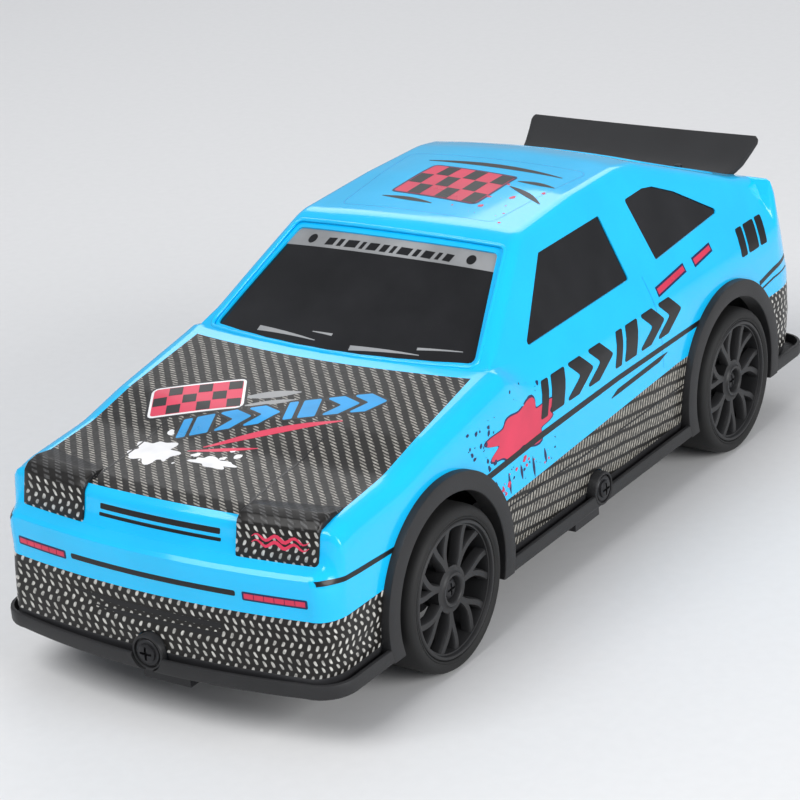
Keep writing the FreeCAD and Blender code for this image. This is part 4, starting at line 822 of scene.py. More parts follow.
def headlight_cover(side):
    """A square-shouldered cover that stands a little proud of the nose and runs out into the hood."""
    stations = [(POD_NEAR, 0.35), (POD_NEAR + 0.12, 0.12), (POD_NEAR + 0.4, 0.0)]
    steps = 7
    stations += [(mix(POD_NEAR + 0.4, POD_FAR - 0.5, step / steps), 0.0) for step in range(1, steps)]
    stations += [(POD_FAR - 0.5, 0.0), (POD_FAR - 0.15, 0.2), (POD_FAR, 0.5)]
    points = []
    for x, shrink in stations:
        loop = pod_profile(x)
        middle_y = sum(y for y, _ in loop) / len(loop)
        middle_z = sum(z for _, z in loop) / len(loop)
        for y, z in loop:
            away = Vector((y - middle_y, z - middle_z))
            away *= 1 - shrink / max(away.length, 1.0)
            points.append((side * x, middle_y + away.x, middle_z + away.y))
    count = len(pod_profile(POD_NEAR))
    faces = ring_faces(len(stations), count) + end_caps(len(stations), count)
    front_points = 4
    # Painted shade: the caps at both upright ends of the cover are black, standing for the shaded sides.
    paints = ([0] * front_points + [1] * (count - front_points)) * (len(stations) - 1) + [2, 2]
    name = "headlight_cover_left" if side > 0 else "headlight_cover_right"
    obj = make_object(name, points, faces, [carbon_front, pod_top, black_ink], paints, 40.0)
    return piece(obj, "chassis", "shell_blue")


# ------------------------------------------------ printed graphics

def offset_loop(loop, amount):
    """An outline moved outward along its own sides by an amount."""
    area = sum(a[0] * b[1] - b[0] * a[1] for a, b in zip(loop, loop[1:] + loop[:1]))
    turn = 1 if area > 0 else -1
    result = []
    count = len(loop)
    for index, point in enumerate(loop):
        before = (Vector(point) - Vector(loop[index - 1]))
        after = (Vector(loop[(index + 1) % count]) - Vector(point))
        if before.length < 1e-6 or after.length < 1e-6:
            continue
        normals = [Vector((edge.y, -edge.x)).normalized() * turn for edge in (before, after)]
        middle = normals[0] + normals[1]
        if middle.length < 0.3:
            middle = normals[0]
        middle.normalize()
        stretch = min(1.8, 1 / max(middle.dot(normals[0]), 0.4))
        result.append(tuple(Vector(point) + middle * amount * stretch))
    return result


def in_quad(shape, corners):
    """Unit-square points placed in a four-cornered patch: low left, low right, high right, high left."""
    low_left, low_right, high_right, high_left = [Vector(corner) for corner in corners]
    return [tuple((low_left * (1 - u) + low_right * u) * (1 - v) + (high_left * (1 - u) + high_right * u) * v)
            for u, v in shape]


def box_corners(left, right, low=0.0, high=1.0):
    """The corners of an upright box; in unit coordinates it is a bar of full height."""
    return [(left, low), (right, low), (right, high), (left, high)]


def chevron(left, right, thick):
    """An arrow-like stroke in unit coordinates."""
    return [(left, 0), (left + thick, 0), (right, 0.5), (left + thick, 1), (left, 1), (right - thick, 0.5)]


def ribbon_loop(points, widths):
    """The outline of a stroke along a line, with its own width at each point."""
    left = []
    right = []
    for index, point in enumerate(points):
        before = Vector(points[max(index - 1, 0)])
        after = Vector(points[min(index + 1, len(points) - 1)])
        across = Vector((-(after - before).y, (after - before).x)).normalized() * widths[index] / 2
        left.append(tuple(Vector(point) + across))
        right.append(tuple(Vector(point) - across))
    return left + right[::-1]


def droplets(count, seed, low, high, largest):
    """Small uneven drops scattered over a box."""
    chance = random.Random(seed)
    drops = []
    for _ in range(count):
        centre = (chance.uniform(low[0], high[0]), chance.uniform(low[1], high[1]))
        radius = largest * chance.uniform(0.25, 1.0) ** 2
        stretch = chance.uniform(0.6, 1.6)
        tilt = chance.uniform(0, math.pi)
        loop = []
        for step in range(9):
            angle = 2 * math.pi * step / 9
            reach = radius * chance.uniform(0.7, 1.2)
            a, b = reach * math.cos(angle) * stretch, reach * math.sin(angle)
            loop.append((centre[0] + a * math.cos(tilt) - b * math.sin(tilt),
                         centre[1] + a * math.sin(tilt) + b * math.cos(tilt)))
        drops.append(loop)
    return drops


def layered(name, loops, view, layers):
    """The same outlines printed several times, each layer narrower and a little higher."""
    for number, (ink, growth) in enumerate(layers):
        grown_loops = [offset_loop(loop, growth) if growth else loop for loop in loops]
        printed(f"{name}_{number}", grown_loops, view, ink, 0.03 + 0.02 * number)


def slanted_box(centre, size, turn, lean):
    """Corners of a box of (width, height), turned by degrees, its upper edge pushed along by lean."""
    half_width, half_height = size[0] / 2, size[1] / 2
    push = lean / 2
    corners = [(-half_width - push, -half_height), (half_width - push, -half_height),
               (half_width + push, half_height), (-half_width + push, half_height)]
    cosine, sine = math.cos(math.radians(turn)), math.sin(math.radians(turn))
    return [(centre[0] + a * cosine - b * sine, centre[1] + a * sine + b * cosine) for a, b in corners]


def splat(centre, reach, arms, seed):
    """A blob of paint: an oval pool whose edge swells and shrinks in uneven arms."""
    picker = random.Random(seed)
    waves = [(count, picker.uniform(0.12, 0.2), picker.uniform(0, 2 * math.pi)) for count in (arms, arms + 3)]
    loop = []
    for step in range(72):
        angle = 2 * math.pi * step / 72
        swell = 1 + sum(size * math.sin(count * angle + phase) for count, size, phase in waves)
        loop.append((centre[0] + reach[0] * swell * math.cos(angle),
                     centre[1] + reach[1] * swell * math.sin(angle)))
    return loop


def brush(start, end, thick, bow=0.0):
    """A brush stroke: full in the middle, thin at both ends, bowed to one side."""
    run = Vector(end) - Vector(start)
    across = Vector((-run.y, run.x)).normalized()
    path = []
    widths = []
    for step in range(9):
        swell = math.sin(math.pi * step / 8)
        path.append(tuple(Vector(start) + run * step / 8 + across * bow * swell))
        widths.append(thick * mix(0.15, 1.0, swell))
    return ribbon_loop(path, widths)


HOOD_MARK = slanted_box((-14.5, -54.5), (17.0, 9.0), 22.0, -1.5)
HOOD_BAND = slanted_box((4.5, -54.5), (37.0, 5.5), 30.0, 1.0)
ROOF_MARK = slanted_box((-0.5, 12.5), (19.5, 15.0), -5.0, -1.0)
SIDE_BAND = slanted_box((9.0, 37.3), (54.0, 6.8), 0.0, 1.8)
BAND_SHAPES = [
    box_corners(0.0, 0.045),
    box_corners(0.065, 0.155),
    chevron(0.17, 0.35, 0.09),
    chevron(0.31, 0.49, 0.09),
    box_corners(0.515, 0.56),
    box_corners(0.585, 0.67),
    chevron(0.69, 0.87, 0.09),
    chevron(0.82, 1.0, 0.09)]


def check_mark(name, quad, outlines, columns=6, rows=3):
    """A slanted flag of checks, outlined."""
    flag = rounded_loop(in_quad(box_corners(0, 1), quad), 0.8, 3)
    layered(name, [flag], "top", outlines + [(pink_ink, 0.0)])
    checks = []
    for column in range(columns):
        for row in range(rows):
            if (column + row) % 2:
                cell = box_corners(column / columns, (column + 1) / columns, row / rows, (row + 1) / rows)
                checks.append(offset_loop(in_quad(cell, quad), -0.12))
    printed(f"{name}_checks", checks, "top", black_ink, 0.03 + 0.02 * (len(outlines) + 1))


def hood_graphics():
    """A checked mark, a slanted band, brush strokes, splashes and two seams."""
    check_mark("hood_mark", HOOD_MARK, [(black_ink, 1.0), (white_ink, 0.5)])
    band = [rounded_loop(in_quad(shape, HOOD_BAND), 0.3, 2) for shape in BAND_SHAPES]
    layered("hood_band", band, "top", [(black_ink, 0.55), (blue_ink, 0.0)])
    strokes = [brush((-3.5, -67.5), (16.5, -53.5), 1.8, 0.5), brush((-5.5, -69.5), (6.5, -65.0), 1.0)]
    printed("hood_strokes", strokes, "top", pink_ink)
    splashes = [splat((-11.5, -71.5), (4.6, 3.6), 5, 41), splat((1.5, -71.5), (4.2, 1.5), 4, 42)]
    splashes += droplets(16, 4, (-18, -76), (7, -64), 0.9)
    printed("hood_splashes", splashes, "top", white_ink, 0.02, 0.08)
    scuffs = [brush((-5.5, -52.5), (4.0, -48.0), 2.2), brush((-4.0, -55.0), (4.5, -50.5), 1.4)]
    printed("hood_scuffs", scuffs, "top", grey_ink, 0.02, 0.08)
    seams = [ribbon_loop([(side * 15.9, -82.4), (side * 15.6, -72.0), (side * 16.2, -58.6)], [0.5, 0.4, 0.3])
             for side in (-1, 1)]
    printed("hood_seams", seams, "top", black_ink)


def pod_face(x, z, depth):
    """A point on the front face of a headlight cover."""
    return x, bowed(x, mix(-84.3, -83.1, (z - 31.75) / 6.35)) + depth, z


def pod_scribble():
    """Two wavy strokes on one headlight cover."""
    strokes = []
    for level in (35.8, 34.8):
        path = [(mix(19.5, 30.0, step / 20), level + 0.45 * math.sin(step * 0.95)) for step in range(21)]
        widths = [0.6 * mix(0.2, 1.0, math.sin(math.pi * step / 20)) for step in range(21)]
        strokes.append(prism_object("stroke", ribbon_loop(path, widths), pod_face, -0.06, 0.05))
    obj = joined("pod_scribble", strokes)
    obj.data.materials.append(pink_ink)
    piece(obj, "chassis", "shell_blue")


def front_graphics():
    """Nose slots, the bumper bar, and two marker lights."""
    bars = [rounded_loop(box_corners(-12.6, 13.0, 34.9, 35.9), 0.2, 2),
            rounded_loop(box_corners(-12.8, 13.2, 33.7, 34.3), 0.15, 2),
            rounded_loop(box_corners(-17.6, 17.6, 26.0, 27.0), 0.3, 2)]
    printed("nose_slots", bars, "front", black_ink, 0.04, 0.1)
    lights = []
    cells = []
    cell_count = 6
    for side in (-1, 1):
        near, far = sorted((side * 18.9, side * 31.0))
        lights.append(rounded_loop(box_corners(near, far, 25.5, 27.1), 0.25, 2))
        for number in range(cell_count):
            left = mix(near + 0.35, far - 0.35, number / cell_count) + 0.06
            right = mix(near + 0.35, far - 0.35, (number + 1) / cell_count) - 0.06
            cells.append(box_corners(left, right, 25.85, 26.75))
    printed("marker_frames", lights, "front", navy_ink)
    printed("marker_lights", cells, "front", pink_ink, 0.10, 0.12)
    slots = [ribbon_loop([(-18.0, 20.6), (-8.0, 20.2), (14.6, 20.2)], [0.2, 0.9, 0.9]),
             ribbon_loop([(-13.0, 18.8), (-6.0, 18.6), (14.6, 18.6)], [0.2, 0.7, 0.8])]
    printed("valance_slots", slots, "front", black_ink, 0.04)


SPLAT_CENTRE = (-25.5, 34.6)
SPLAT_REACH = (10.5, 4.0)
SPLAT_OUTLINE = 0.4


def leaning_bar(left, width, low, high, push):
    """A bar whose upper edge is pushed along."""
    return [(left, low), (left + width, low), (left + width + push, high), (left + push, high)]


def side_graphics(view):
    """The splash, the slanted band, stripes, vents, quarter marks and door seams of one side."""
    outer_reach = tuple(reach + SPLAT_OUTLINE for reach in SPLAT_REACH)
    edges = [splat(SPLAT_CENTRE, outer_reach, 5, 31)]
    for number in range(5):
        y = -35.0 + 4.2 * number
        edges.append(brush((y, 28.2), (y + 0.5, 25.2 - 1.2 * (number % 2)), 0.8))
    printed(f"side_splash_edge_{view}", edges, view, navy_ink, 0.02, 0.08)
    printed(f"side_splash_{view}", [splat(SPLAT_CENTRE, SPLAT_REACH, 5, 31)], view, pink_ink, 0.04)
    drops = droplets(30, 11, (-43.5, 31), (-34, 41), 0.5)
    drops += droplets(8, 14, (-30, 38), (-18, 45), 0.45)
    drops += droplets(16, 12, (-32, 24.6), (-14, 29.0), 0.45)
    printed(f"side_drops_{view}", drops, view, navy_ink, 0.05)
    pink_drops = droplets(16, 13, (-33, 24.5), (-14, 29.5), 0.6)
    printed(f"side_pink_drops_{view}", pink_drops, view, pink_ink, 0.06, 0.1)
    prints = [rounded_loop(in_quad(shape, SIDE_BAND), 0.35, 2) for shape in BAND_SHAPES]
    prints += [
        ribbon_loop([(-39.4, 29.9), (-20.0, 31.0), (10.0, 31.8), (46.0, 31.8)], [1.2, 1.3, 1.1, 1.0]),
        ribbon_loop([(7.0, 28.7), (9.5, 29.2), (26.0, 29.8), (29.5, 30.2)], [0.1, 1.0, 1.0, 0.1]),
        ribbon_loop([(70.6, 31.1), (77.0, 32.2), (84.0, 33.0)], [1.0, 1.0, 0.8]),
        ribbon_loop([(71.6, 29.6), (77.0, 30.3), (84.4, 30.6)], [0.4, 0.4, 0.3])]
    for left, width in ((63.4, 2.6), (66.8, 4.4), (72.0, 2.6)):
        prints.append(rounded_loop(leaning_bar(left, width, 38.9, 44.6, 0.7), 0.4, 2))
    prints.append(ribbon_loop([(-34.4, 21.9), (0.0, 21.3), (37.4, 21.2)], [0.3, 0.35, 0.3]))
    printed(f"side_print_{view}", prints, view, black_ink, 0.07, 0.12)
    nose_stripe = ribbon_loop([(-86.6, 30.1), (-78.0, 29.5), (-67.6, 29.0)], [0.8, 0.9, 0.8])
    printed(f"nose_stripe_{view}", [nose_stripe], view, black_ink, 0.1, 0.15, cell=0.3)
    vents = [ribbon_loop([(29.2, 42.6), (40.8, 43.7)], [1.15, 1.0]),
             ribbon_loop([(45.2, 43.6), (52.6, 44.3)], [1.1, 0.95])]
    layered(f"side_vents_{view}", vents, view, [(navy_ink, 0.42), (pink_ink, 0.0)])
    seam = ribbon_loop([(26.0, 46.5), (26.6, 40.5), (27.6, 33.0), (28.0, 27.6)], [0.12, 0.2, 0.2, 0.1])
    printed(f"door_seams_{view}", [seam], view, blue_ink, 0.02, 0.06)


def tail_graphics():
    """Two lamp clusters, a plain plate, slots and a bumper line across the tail."""
    lamps = []
    cells = []
    for side in (-1, 1):
        lamp = [(side * 15.6, 35.6), (side * 30.2, 35.6), (side * 29.4, 42.2), (side * 15.6, 42.2)]
        lamps.append(rounded_loop(lamp, 0.8, 3))
        for left, right in ((0.05, 0.36), (0.39, 0.66), (0.69, 0.95)):
            for low, high in ((0.12, 0.48), (0.54, 0.88)):
                cells.append(rounded_loop(in_quad(box_corners(left, right, low, high), lamp), 0.3, 2))
    printed("tail_lamp_frames", lamps, "rear", navy_ink)
    printed("tail_lamps", cells, "rear", pink_ink, 0.10, 0.14)
    plate = rounded_loop(box_corners(-9.6, 9.6, 30.4, 35.6), 0.8, 3)
    plate_inner = offset_loop(plate, -0.5)
    shapes = [[rounded_loop(box_corners(-half, half, low, high), 0.2, 2)]
              for half, low, high in ((14.4, 40.9, 41.9), (14.4, 39.4, 40.0), (30.6, 27.9, 28.7))]
    shapes.append([plate, plate_inner])
    surface_piece("tail_print", shapes, "rear", black_ink, "shell_blue", 0.04, 0.1)
    printed("tail_plate", [plate_inner], "rear", grey_ink, 0.03, 0.08)


def roof_graphics():
    """A checked mark with brush strokes, and the roof panel's fine line."""
    check_mark("roof_mark", ROOF_MARK, [(navy_ink, 0.5)])
    strokes = [brush((-13.5, 23.8), (17.5, 22.8), 1.9, 0.8), brush((10.8, 17.4), (19.0, 17.2), 1.5, 0.3),
               brush((10.8, 14.4), (20.5, 9.0), 1.5, 0.4), brush((-11.0, 3.0), (1.0, 1.8), 1.5, 0.3)]
    printed("roof_strokes", strokes, "top", black_ink)
    printed("roof_drops", droplets(22, 21, (4, -4), (19, 16), 0.6), "top", pink_ink)
    line = rounded_loop([(-17.0, -2.6), (17.0, -2.6), (20.5, 28.0), (-20.5, 28.0)], 2.0, 4)
    panel_line = [line, offset_loop(line, -0.14)]
    surface_piece("roof_panel_line", [panel_line], "top", blue_ink, "shell_blue", 0.01, 0.05)


# A banner edge is its half width, its y at the ends and its bow toward the nose.
BANNER_UPPER = (22.3, -9.5, 1.1)
BANNER_LOWER = (23.6, -12.9, 1.2)
BANNER_BLOCKS = (1.9, 1.0, 2.6, 0.8, 2.2, 1.4, 0.8, 2.6, 1.0, 2.1, 0.8, 1.6)
# A streak is its start and end x, its height above the screen's foot and its thickness.
STREAKS = [(-18.0, -4.0, 1.6, 1.0), (-1.0, -5.5, 3.2, 0.5), (4.0, 18.0, 1.2, 1.0), (17.0, 25.5, 2.4, 0.5)]


def glass_graphics():
    """The pale banner with blocks and discs, and light streaks low on the screen."""
    banner = bowed_line(*BANNER_LOWER, 10) + bowed_line(*BANNER_UPPER, 10)[::-1]
    surface_piece("banner", [[banner]], "top", grey_ink, "glazing", -0.82, 0.1)
    marks = [[circle_loop(0.95, (side * 17.8, -11.8), 20)] for side in (-1, 1)]
    half_width, _, bow = BANNER_UPPER
    place = -14.4
    for width in BANNER_BLOCKS:
        low = -12.4 - bow * (1 - (place / half_width) ** 2)
        marks.append([leaning_bar(place, width, low, low + 1.5, 0.4)])
        place += width + 0.85
    surface_piece("banner_marks", marks, "top", black_ink, "glazing", -0.78, 0.1)
    streaks = []
    for start, end, above, thick in STREAKS:
        path = []
        for x in (start, end):
            foot_y = SCREEN_FOOT_Y - SCREEN_FOOT_BOW * (1 - (x / SCREEN_FOOT_HALF) ** 2)
            path.append((x, foot_y + above))
        streaks.append([ribbon_loop(path, [thick, 0.15])])
    surface_piece("screen_streaks", streaks, "top", grey_ink, "glazing", -0.82, 0.08)


# ------------------------------------------------ skirt, screws and spoiler

SKIRT_HALF = 36.8
SEAT_SIDE_X = 36.4
SEAT_END_Y = 91.8
WELD_DISTANCE = 0.002


def skirt_outline(inset):
    """The skirt's outer edge from above, moved in by an amount."""
    half = SKIRT_HALF - inset
    radius = 6.4 - min(inset, 4.0)
    reach = half - radius
    loop = []
    for end, edge, bow in ((-1, 87.9, 4.9), (1, 90.8, 2.0)):
        line = edge - inset
        across = [end * mix(reach, -reach, step / 16) for step in range(17)]
        face = [(x, end * (line + bow * (1 - (x / SKIRT_HALF) ** 2))) for x in across]
        arcs = []
        for side in (-1, 1):
            start = (side * reach, end * (line + bow * (1 - (reach / SKIRT_HALF) ** 2)))
            arcs.append([(start[0] + side * radius * math.sin(step / 8 * math.pi / 2),
                          start[1] - end * radius * (1 - math.cos(step / 8 * math.pi / 2)))
                         for step in range(1, 9)])
        first, last = (arcs[1], arcs[0]) if end > 0 else (arcs[0], arcs[1])
        loop += first[::-1] + face + last
    return loop


def turned(name, profile, place, steps, material, sharp_degrees=32.0):
    """A (depth, radius) profile turned about an axle; place maps (depth, a, b) to space."""
    points = []
    for step in range(steps):
        angle = 2 * math.pi * step / steps
        points += [place(depth, radius * math.cos(angle), radius * math.sin(angle))
                   for depth, radius in profile]
    faces = ring_faces(steps, len(profile), closed=True)
    return make_object(name, points, faces, [material], None, sharp_degrees)


def merged(obj):
    """Weld points that share a place."""
    work = bmesh.new()
    work.from_mesh(obj.data)
    bmesh.ops.remove_doubles(work, verts=work.verts, dist=WELD_DISTANCE * MM)
    bmesh.ops.dissolve_degenerate(work, edges=work.edges, dist=WELD_DISTANCE * MM * 0.5)
    work.to_mesh(obj.data)
    work.free()
    return obj


def washer_seats(side):
    """Two screw seats, on a flank and at an end; each maps (depth, a, b) to space."""
    return [lambda depth, a, b: (side * (SEAT_SIDE_X + depth), a, BOSS_Z + b),
            lambda depth, a, b: (a, side * (SEAT_END_Y + depth), BOSS_Z + b)]


def skirt():
    """The dark lip all round, the four arch bands, and the four screw bosses."""
    section = [(0.75, 12.4), (0.7, 12.7), (0.3, 12.7), (0.1, 12.6), (0.0, 12.3), (0.0, 10.4), (0.15, 10.1),
               (0.5, 10.0), (4.4, 10.0), (4.6, 10.2), (4.6, 12.2), (0.95, 11.0), (0.85, 11.4)]
    points = [(x, y, z) for inset, z in section for x, y in skirt_outline(inset)]
    faces = ring_faces(len(section), len(points) // len(section), closed=True)
    lip = merged(make_object("skirt_lip", points, faces, [trim]))
    finish_mesh(lip)
    top, left, front = (VIEWS[view][0] for view in ("top", "left", "front"))
    for axle_y in AXLE_YS:
        arch = circle_loop(SKIRT_OPENING, (axle_y, ARCH_Z), 72)
        boolean(lip, prism_object("arch_cut", arch, left, -45, 45))
    for side in (-1, 1):
        sweep = circle_loop(SWING_OPENING, (side * 25.0, AXLE_YS[0]), 64)
        boolean(lip, prism_object("sweep_cut", sweep, top, 5, 14))
        ear = box_corners(side * 30, side * 33.4, -5.3, 4.1)
        boolean(lip, prism_object("ear_cut", ear, top, 5, 14))
    for place in (left, front):
        notch = circle_loop(NOTCH_OPENING, (0.0, BOSS_Z), 48)
        boolean(lip, prism_object("notch", notch, place, -100, 100))
    parts = [lip]
    for side in (-1, 1):
        parts += [arch_band(side, axle_y) for axle_y in AXLE_YS]
        parts += [boss(seat) for seat in washer_seats(side)]
    obj = joined("skirt", parts)
    finish_mesh(obj, 35.0)
    return piece(obj, "chassis", "trim_black", "skirt_frame")


def arch_band(side, axle_y):
    """One flat band over a wheel, ending level with the skirt's lower edge."""
    section = [(17.0, 33.4), (17.0, 36.68), (17.12, 36.82), (17.35, 36.86), (20.1, 36.86), (20.4, 36.76),
               (20.5, 36.46), (20.5, 34.4)]
    steps = 72
    lowest = ARCH_Z - 10.0
    points = []
    for step in range(steps + 1):
        for radius, x in section:
            start = -math.asin(lowest / radius)
            angle = mix(start, math.pi - start, step / steps)
            points.append((side * x, axle_y + radius * math.cos(angle), ARCH_Z + radius * math.sin(angle)))
    faces = ring_faces(steps + 1, len(section)) + end_caps(steps + 1, len(section))
    return make_object("arch_band", points, faces, [trim])


def boss(place):
    """A round boss with a sunk face for a washer head."""
    profile = [(-2.6, 0.0), (-2.6, 3.3), (0.15, 3.3), (0.4, 3.2), (0.5, 3.0), (0.45, 2.8), (-0.02, 2.7),
               (-0.02, 0.0)]
    return finish_mesh(merged(turned("boss", profile, place, 48, trim)))


def cross_head(name, washer, dome, height, place, stem=3.0):
    """A screw with a washer, a low dome and a cross recess; its seat is at depth 0."""
    profile = [(-stem, 0.0), (-stem, 0.75), (0.0, 0.75), (0.0, washer - 0.1), (0.08, washer),
               (0.28, washer), (0.38, washer - 0.12), (0.4, dome), (0.7, dome - 0.05),
               (0.92 * height, dome - 0.35), (height, dome - 0.8), (height, 0.0)]

    def upright(depth, a, b):
        return a, b, depth

    def upright_loop(a, b, depth):
        return a, b, depth

    head = finish_mesh(merged(turned(name, profile, upright, 40, screw_black)))
    half = 0.26
    tip = half * 0.8
    reach = dome * 0.72
    cross = [(half, half), (reach, tip), (reach, -tip), (half, -half), (tip, -reach), (-tip, -reach),
             (-half, -half), (-reach, -tip), (-reach, tip), (-half, half), (-tip, reach), (tip, reach)]
    boolean(head, prism_object("cross", cross, upright_loop, 0.35, 2.0))
    for vertex in head.data.vertices:
        vertex.co = Vector(place(vertex.co.z / MM, vertex.co.x / MM, vertex.co.y / MM)) * MM
    return finish_mesh(head, 28.0)


def body_screws():
    """The four washer-head screws."""
    parts = [cross_head("screw", 2.45, 1.75, 0.95, seat) for side in (-1, 1) for seat in washer_seats(side)]
    return piece(joined("washer_screws", parts), "chassis", "screw_black", "body_screws")


def spoiler():
    """A wide blade that curves up and back from the deck, with slanted ends and a foot."""
    path = [(75.6, 51.6, 24.9), (77.6, 51.9, 25.2), (79.4, 52.4, 25.8), (81.6, 53.3, 26.4),
            (84.2, 55.1, 27.0), (86.2, 56.7, 27.5), (86.9, 57.3, 27.3), (87.2, 57.6, 26.8)]
    thick = 1.15
    bow = 0.5
    bow_run = 11.4
    foot_y = path[0][0]
    across_steps = 24
    points = []
    for y, z, half in path:
        for step in range(across_steps + 1):
            share = 2 * step / across_steps - 1
            points.append((half * share, y - bow * (1 - share ** 2) * (y - foot_y) / bow_run, z))
    upper = len(points)
    index = 0
    for number in range(len(path)):
        before = path[max(number - 1, 0)]
        after = path[min(number + 1, len(path) - 1)]
        run = Vector((after[0] - before[0], after[1] - before[1])).normalized()
        for step in range(across_steps + 1):
            x, along_y, up = points[index]
            points.append((x, along_y + run.y * thick, up - run.x * thick))
            index += 1
    width = across_steps + 1
    faces = []
    for number in range(len(path) - 1):
        for step in range(across_steps):
            a = number * width + step
            faces.append((a, a + 1, a + width + 1, a + width))
            b = upper + a
            faces.append((b + width, b + width + 1, b + 1, b))
    for number in range(len(path) - 1):
        for step in (0, across_steps):
            a = number * width + step
            ends = (a, a + width, upper + a + width, upper + a)
            faces.append(ends if step else ends[::-1])
    for row, flip in ((0, False), (len(path) - 1, True)):
        for step in range(across_steps):
            a = row * width + step
            ends = (a, a + 1, upper + a + 1, upper + a)
            faces.append(ends[::-1] if flip else ends)
    obj = make_object("rear_wing", points, faces, [spoiler_matt])
    soften = obj.modifiers.new("soften", "BEVEL")
    soften.width = 0.25 * MM
    soften.segments = 2
    soften.limit_method = "ANGLE"
    bake_modifiers(obj)
    finish_mesh(obj, 40.0)
    return piece(obj, "chassis", "trim_black", "rear_spoiler")


# ------------------------------------------------ wheels

WHEEL_FACE_X = 37.4
WHEEL_RADIUS = 15.1
HUB_SEAT = 2.25
SPOKE_COUNT = 7
RIM_PROFILE = [
    (-0.45, 12.48), (-0.2, 12.3), (-0.12, 12.05), (-0.2, 11.8), (-0.55, 11.62), (-0.8, 11.6),
    (-0.85, 11.35), (-1.6, 11.25), (-3.6, 11.15), (-11.4, 11.25), (-11.7, 11.5), (-11.85, 12.2),
    (-11.6, 12.48)]
TYRE_PROFILE = [
    (-0.42, 12.5), (-0.2, 12.62), (-0.12, 12.9), (-0.22, 13.0), (-0.05, 13.25), (0.0, 13.6),
    (-0.1, 14.1), (-0.4, 14.55), (-0.95, 14.88), (-1.7, 15.05), (-2.6, 15.1), (-6.0, 15.1),
    (-9.4, 15.1), (-10.4, 15.03), (-11.2, 14.8), (-11.7, 14.4), (-11.95, 13.8), (-12.0, 13.2),
    (-11.8, 12.7), (-11.6, 12.5)]
HUB_PROFILE = [
    (-2.25, 0.0), (-2.25, 2.2), (-1.1, 2.35), (-0.85, 2.5), (-0.72, 2.75), (-0.75, 3.05),
    (-1.0, 3.25), (-1.15, 3.5), (-1.3, 4.3), (-3.2, 4.2), (-7.2, 3.4), (-7.2, 0.0)]


def spoke_bar(path, widths, place):
    """A bevelled bar along a line in the wheel's plane."""
    points = []
    for index, point in enumerate(path):
        before = Vector(path[max(index - 1, 0)])
        after = Vector(path[min(index + 1, len(path) - 1)])
        run = (after - before).normalized()
        across = Vector((-run.y, run.x))
        half = widths[index] / 2
        front = mix(-1.25, -1.0, index / (len(path) - 1))
        back = front - 1.9
        section = ((-half, back), (-half, front - 0.3), (-half + 0.22, front),
                   (half - 0.22, front), (half, front - 0.3), (half, back))
        for offset, depth in section:
            spot = Vector(point) + across * offset
            points.append(place(depth, spot.x, spot.y))
    caps = [cap[::-1] for cap in end_caps(len(path), len(section))]
    return make_object("spoke", points, ring_faces(len(path), len(section)) + caps, [rim_satin])


def spokes(place):
    """Seven split spokes with a gentle curve."""
    parts = []
    for number in range(SPOKE_COUNT):
        middle = 2 * math.pi * number / SPOKE_COUNT
        for side in (-1, 1):
            path = []
            widths = []
            for step in range(9):
                share = step / 8
                radius = mix(2.9, 11.7, share)
                spread = math.radians(12.2) * ease((radius - 3.6) / 8.2) * side
                sweep = math.radians(5.0) * math.sin(math.pi * share)
                angle = middle + spread + sweep
                path.append((radius * math.cos(angle), radius * math.sin(angle)))
                widths.append(mix(1.35, 1.5, abs(2 * share - 1)))
            parts.append(spoke_bar(path, widths, place))
    return parts


def wheel(end, side):
    """One wheel: rim, tyre and screw in place of the CAD ones."""
    across, axle_y = (1 if side == "left" else -1), AXLE_YS[0 if end == "front" else 1]
    body = "rear_axle" if end == "rear" else f"wheel_front_{side}"

    def place(depth, a, b):
        return across * (WHEEL_FACE_X + depth), axle_y + a, WHEEL_RADIUS + b

    def hub_place(depth, a, b):
        return place(depth - HUB_SEAT, a, b)

    barrel = turned("barrel", RIM_PROFILE, place, 112, rim_satin)
    hub = finish_mesh(merged(turned("hub", HUB_PROFILE, place, 56, rim_satin)))
    rim = joined(f"{end}_{side}_wheel_rim", [barrel, hub] + spokes(place))
    finish_mesh(rim, 38.0)
    piece(rim, body, "rim_grey", f"{end}_{side}_rim")
    tyre = turned(f"{end}_{side}_wheel_tyre", TYRE_PROFILE, place, 128, rubber, 50.0)
    piece(tyre, body, "tyre_rubber", f"{end}_{side}_tyre")
    screw = cross_head(f"{end}_{side}_hub_screw", 1.95, 1.6, 0.9, hub_place, 2.0)
    piece(screw, body, "screw_black", f"{end}_{side}_wheel_screw")


# ------------------------------------------------ floor, light and camera

LIGHT_AIM = (0, 0, 0.03)


def area_light(name, place, across, strength):
    """A soft box that points at the car."""
    light = bpy.data.lights.new(name, "AREA")
    light.shape = "RECTANGLE"
    light.size, light.size_y = across
    light.energy = strength
    obj = bpy.data.objects.new(name, light)
    bpy.context.scene.collection.objects.link(obj)
    obj.location = place
    obj.rotation_euler = (Vector(LIGHT_AIM) - Vector(place)).to_track_quat("-Z", "Y").to_euler()


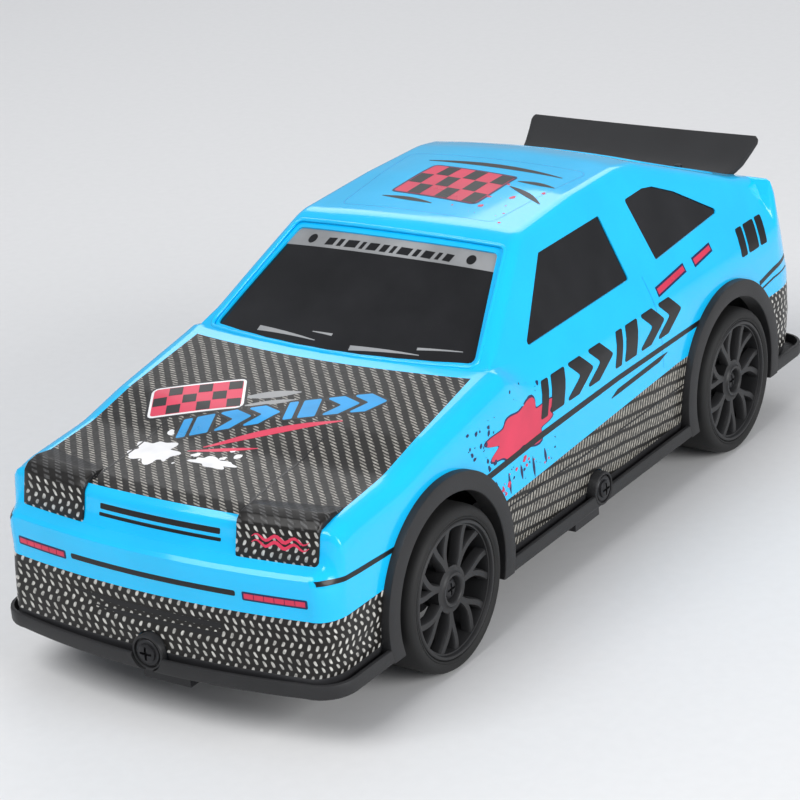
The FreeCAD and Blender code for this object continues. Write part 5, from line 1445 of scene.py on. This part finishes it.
def studio():
    """A pale floor and soft boxes."""
    floor_mesh = bpy.data.meshes.new("floor")
    floor_mesh.from_pydata([(-4, -4, 0), (4, -4, 0), (4, 4, 0), (-4, 4, 0)], [], [(0, 1, 2, 3)])
    floor_tree = Nodes("floor_paper")
    speckle = floor_tree.noise(0.4, 3.0)
    paper = floor_tree.blend(speckle, (0.70, 0.70, 0.70), (0.74, 0.74, 0.74))
    floor_tree.set(Base_Color=paper, Roughness=0.75)
    floor_mesh.materials.append(floor_tree.material)
    floor = bpy.data.objects.new("floor", floor_mesh)
    bpy.context.scene.collection.objects.link(floor)
    world = bpy.data.worlds.new("room")
    world.use_nodes = True
    background = world.node_tree.nodes["Background"]
    background.inputs["Color"].default_value = (0.9, 0.93, 1.0, 1.0)
    background.inputs["Strength"].default_value = 0.4
    bpy.context.scene.world = world
    area_light("key_box", (-0.15, -0.55, 0.75), (0.7, 0.5), 5.8)
    area_light("side_box", (0.85, -0.05, 0.35), (0.6, 0.35), 6.0)
    area_light("back_box", (-0.35, 0.65, 0.6), (0.8, 0.3), 1.8)
    bpy.context.scene.view_settings.view_transform = "Standard"


def camera():
    """The viewing angle of the reference."""
    turn = math.radians(34.905)
    pitch = math.radians(21.273)
    roll = math.radians(-4.360)
    right = Vector((math.cos(turn), math.sin(turn), 0))
    up = Vector((-math.sin(turn) * math.sin(pitch), math.cos(turn) * math.sin(pitch), math.cos(pitch)))
    back = right.cross(up)
    picture_right = right * math.cos(roll) + up * math.sin(roll)
    picture_up = up * math.cos(roll) - right * math.sin(roll)
    lens = bpy.data.cameras.new("view")
    lens.lens = 115.77
    lens.sensor_width = 36.0
    lens.clip_start = 0.01
    obj = bpy.data.objects.new("view", lens)
    bpy.context.scene.collection.objects.link(obj)
    turned = Matrix((picture_right, picture_up, back)).transposed().to_4x4()
    obj.matrix_world = Matrix.Translation((0.26117, -0.38643, 0.20757)) @ turned
    bpy.context.scene.camera = obj


camera()
studio()
dress_cad_nodes()
shell()
windows()
for side in (1, -1):
    headlight_cover(side)
hood_graphics()
pod_scribble()
front_graphics()
for view in ("left", "right"):
    side_graphics(view)
tail_graphics()
roof_graphics()
glass_graphics()
skirt()
body_screws()
spoiler()
for end in ("front", "rear"):
    for side in ("left", "right"):
        wheel(end, side)
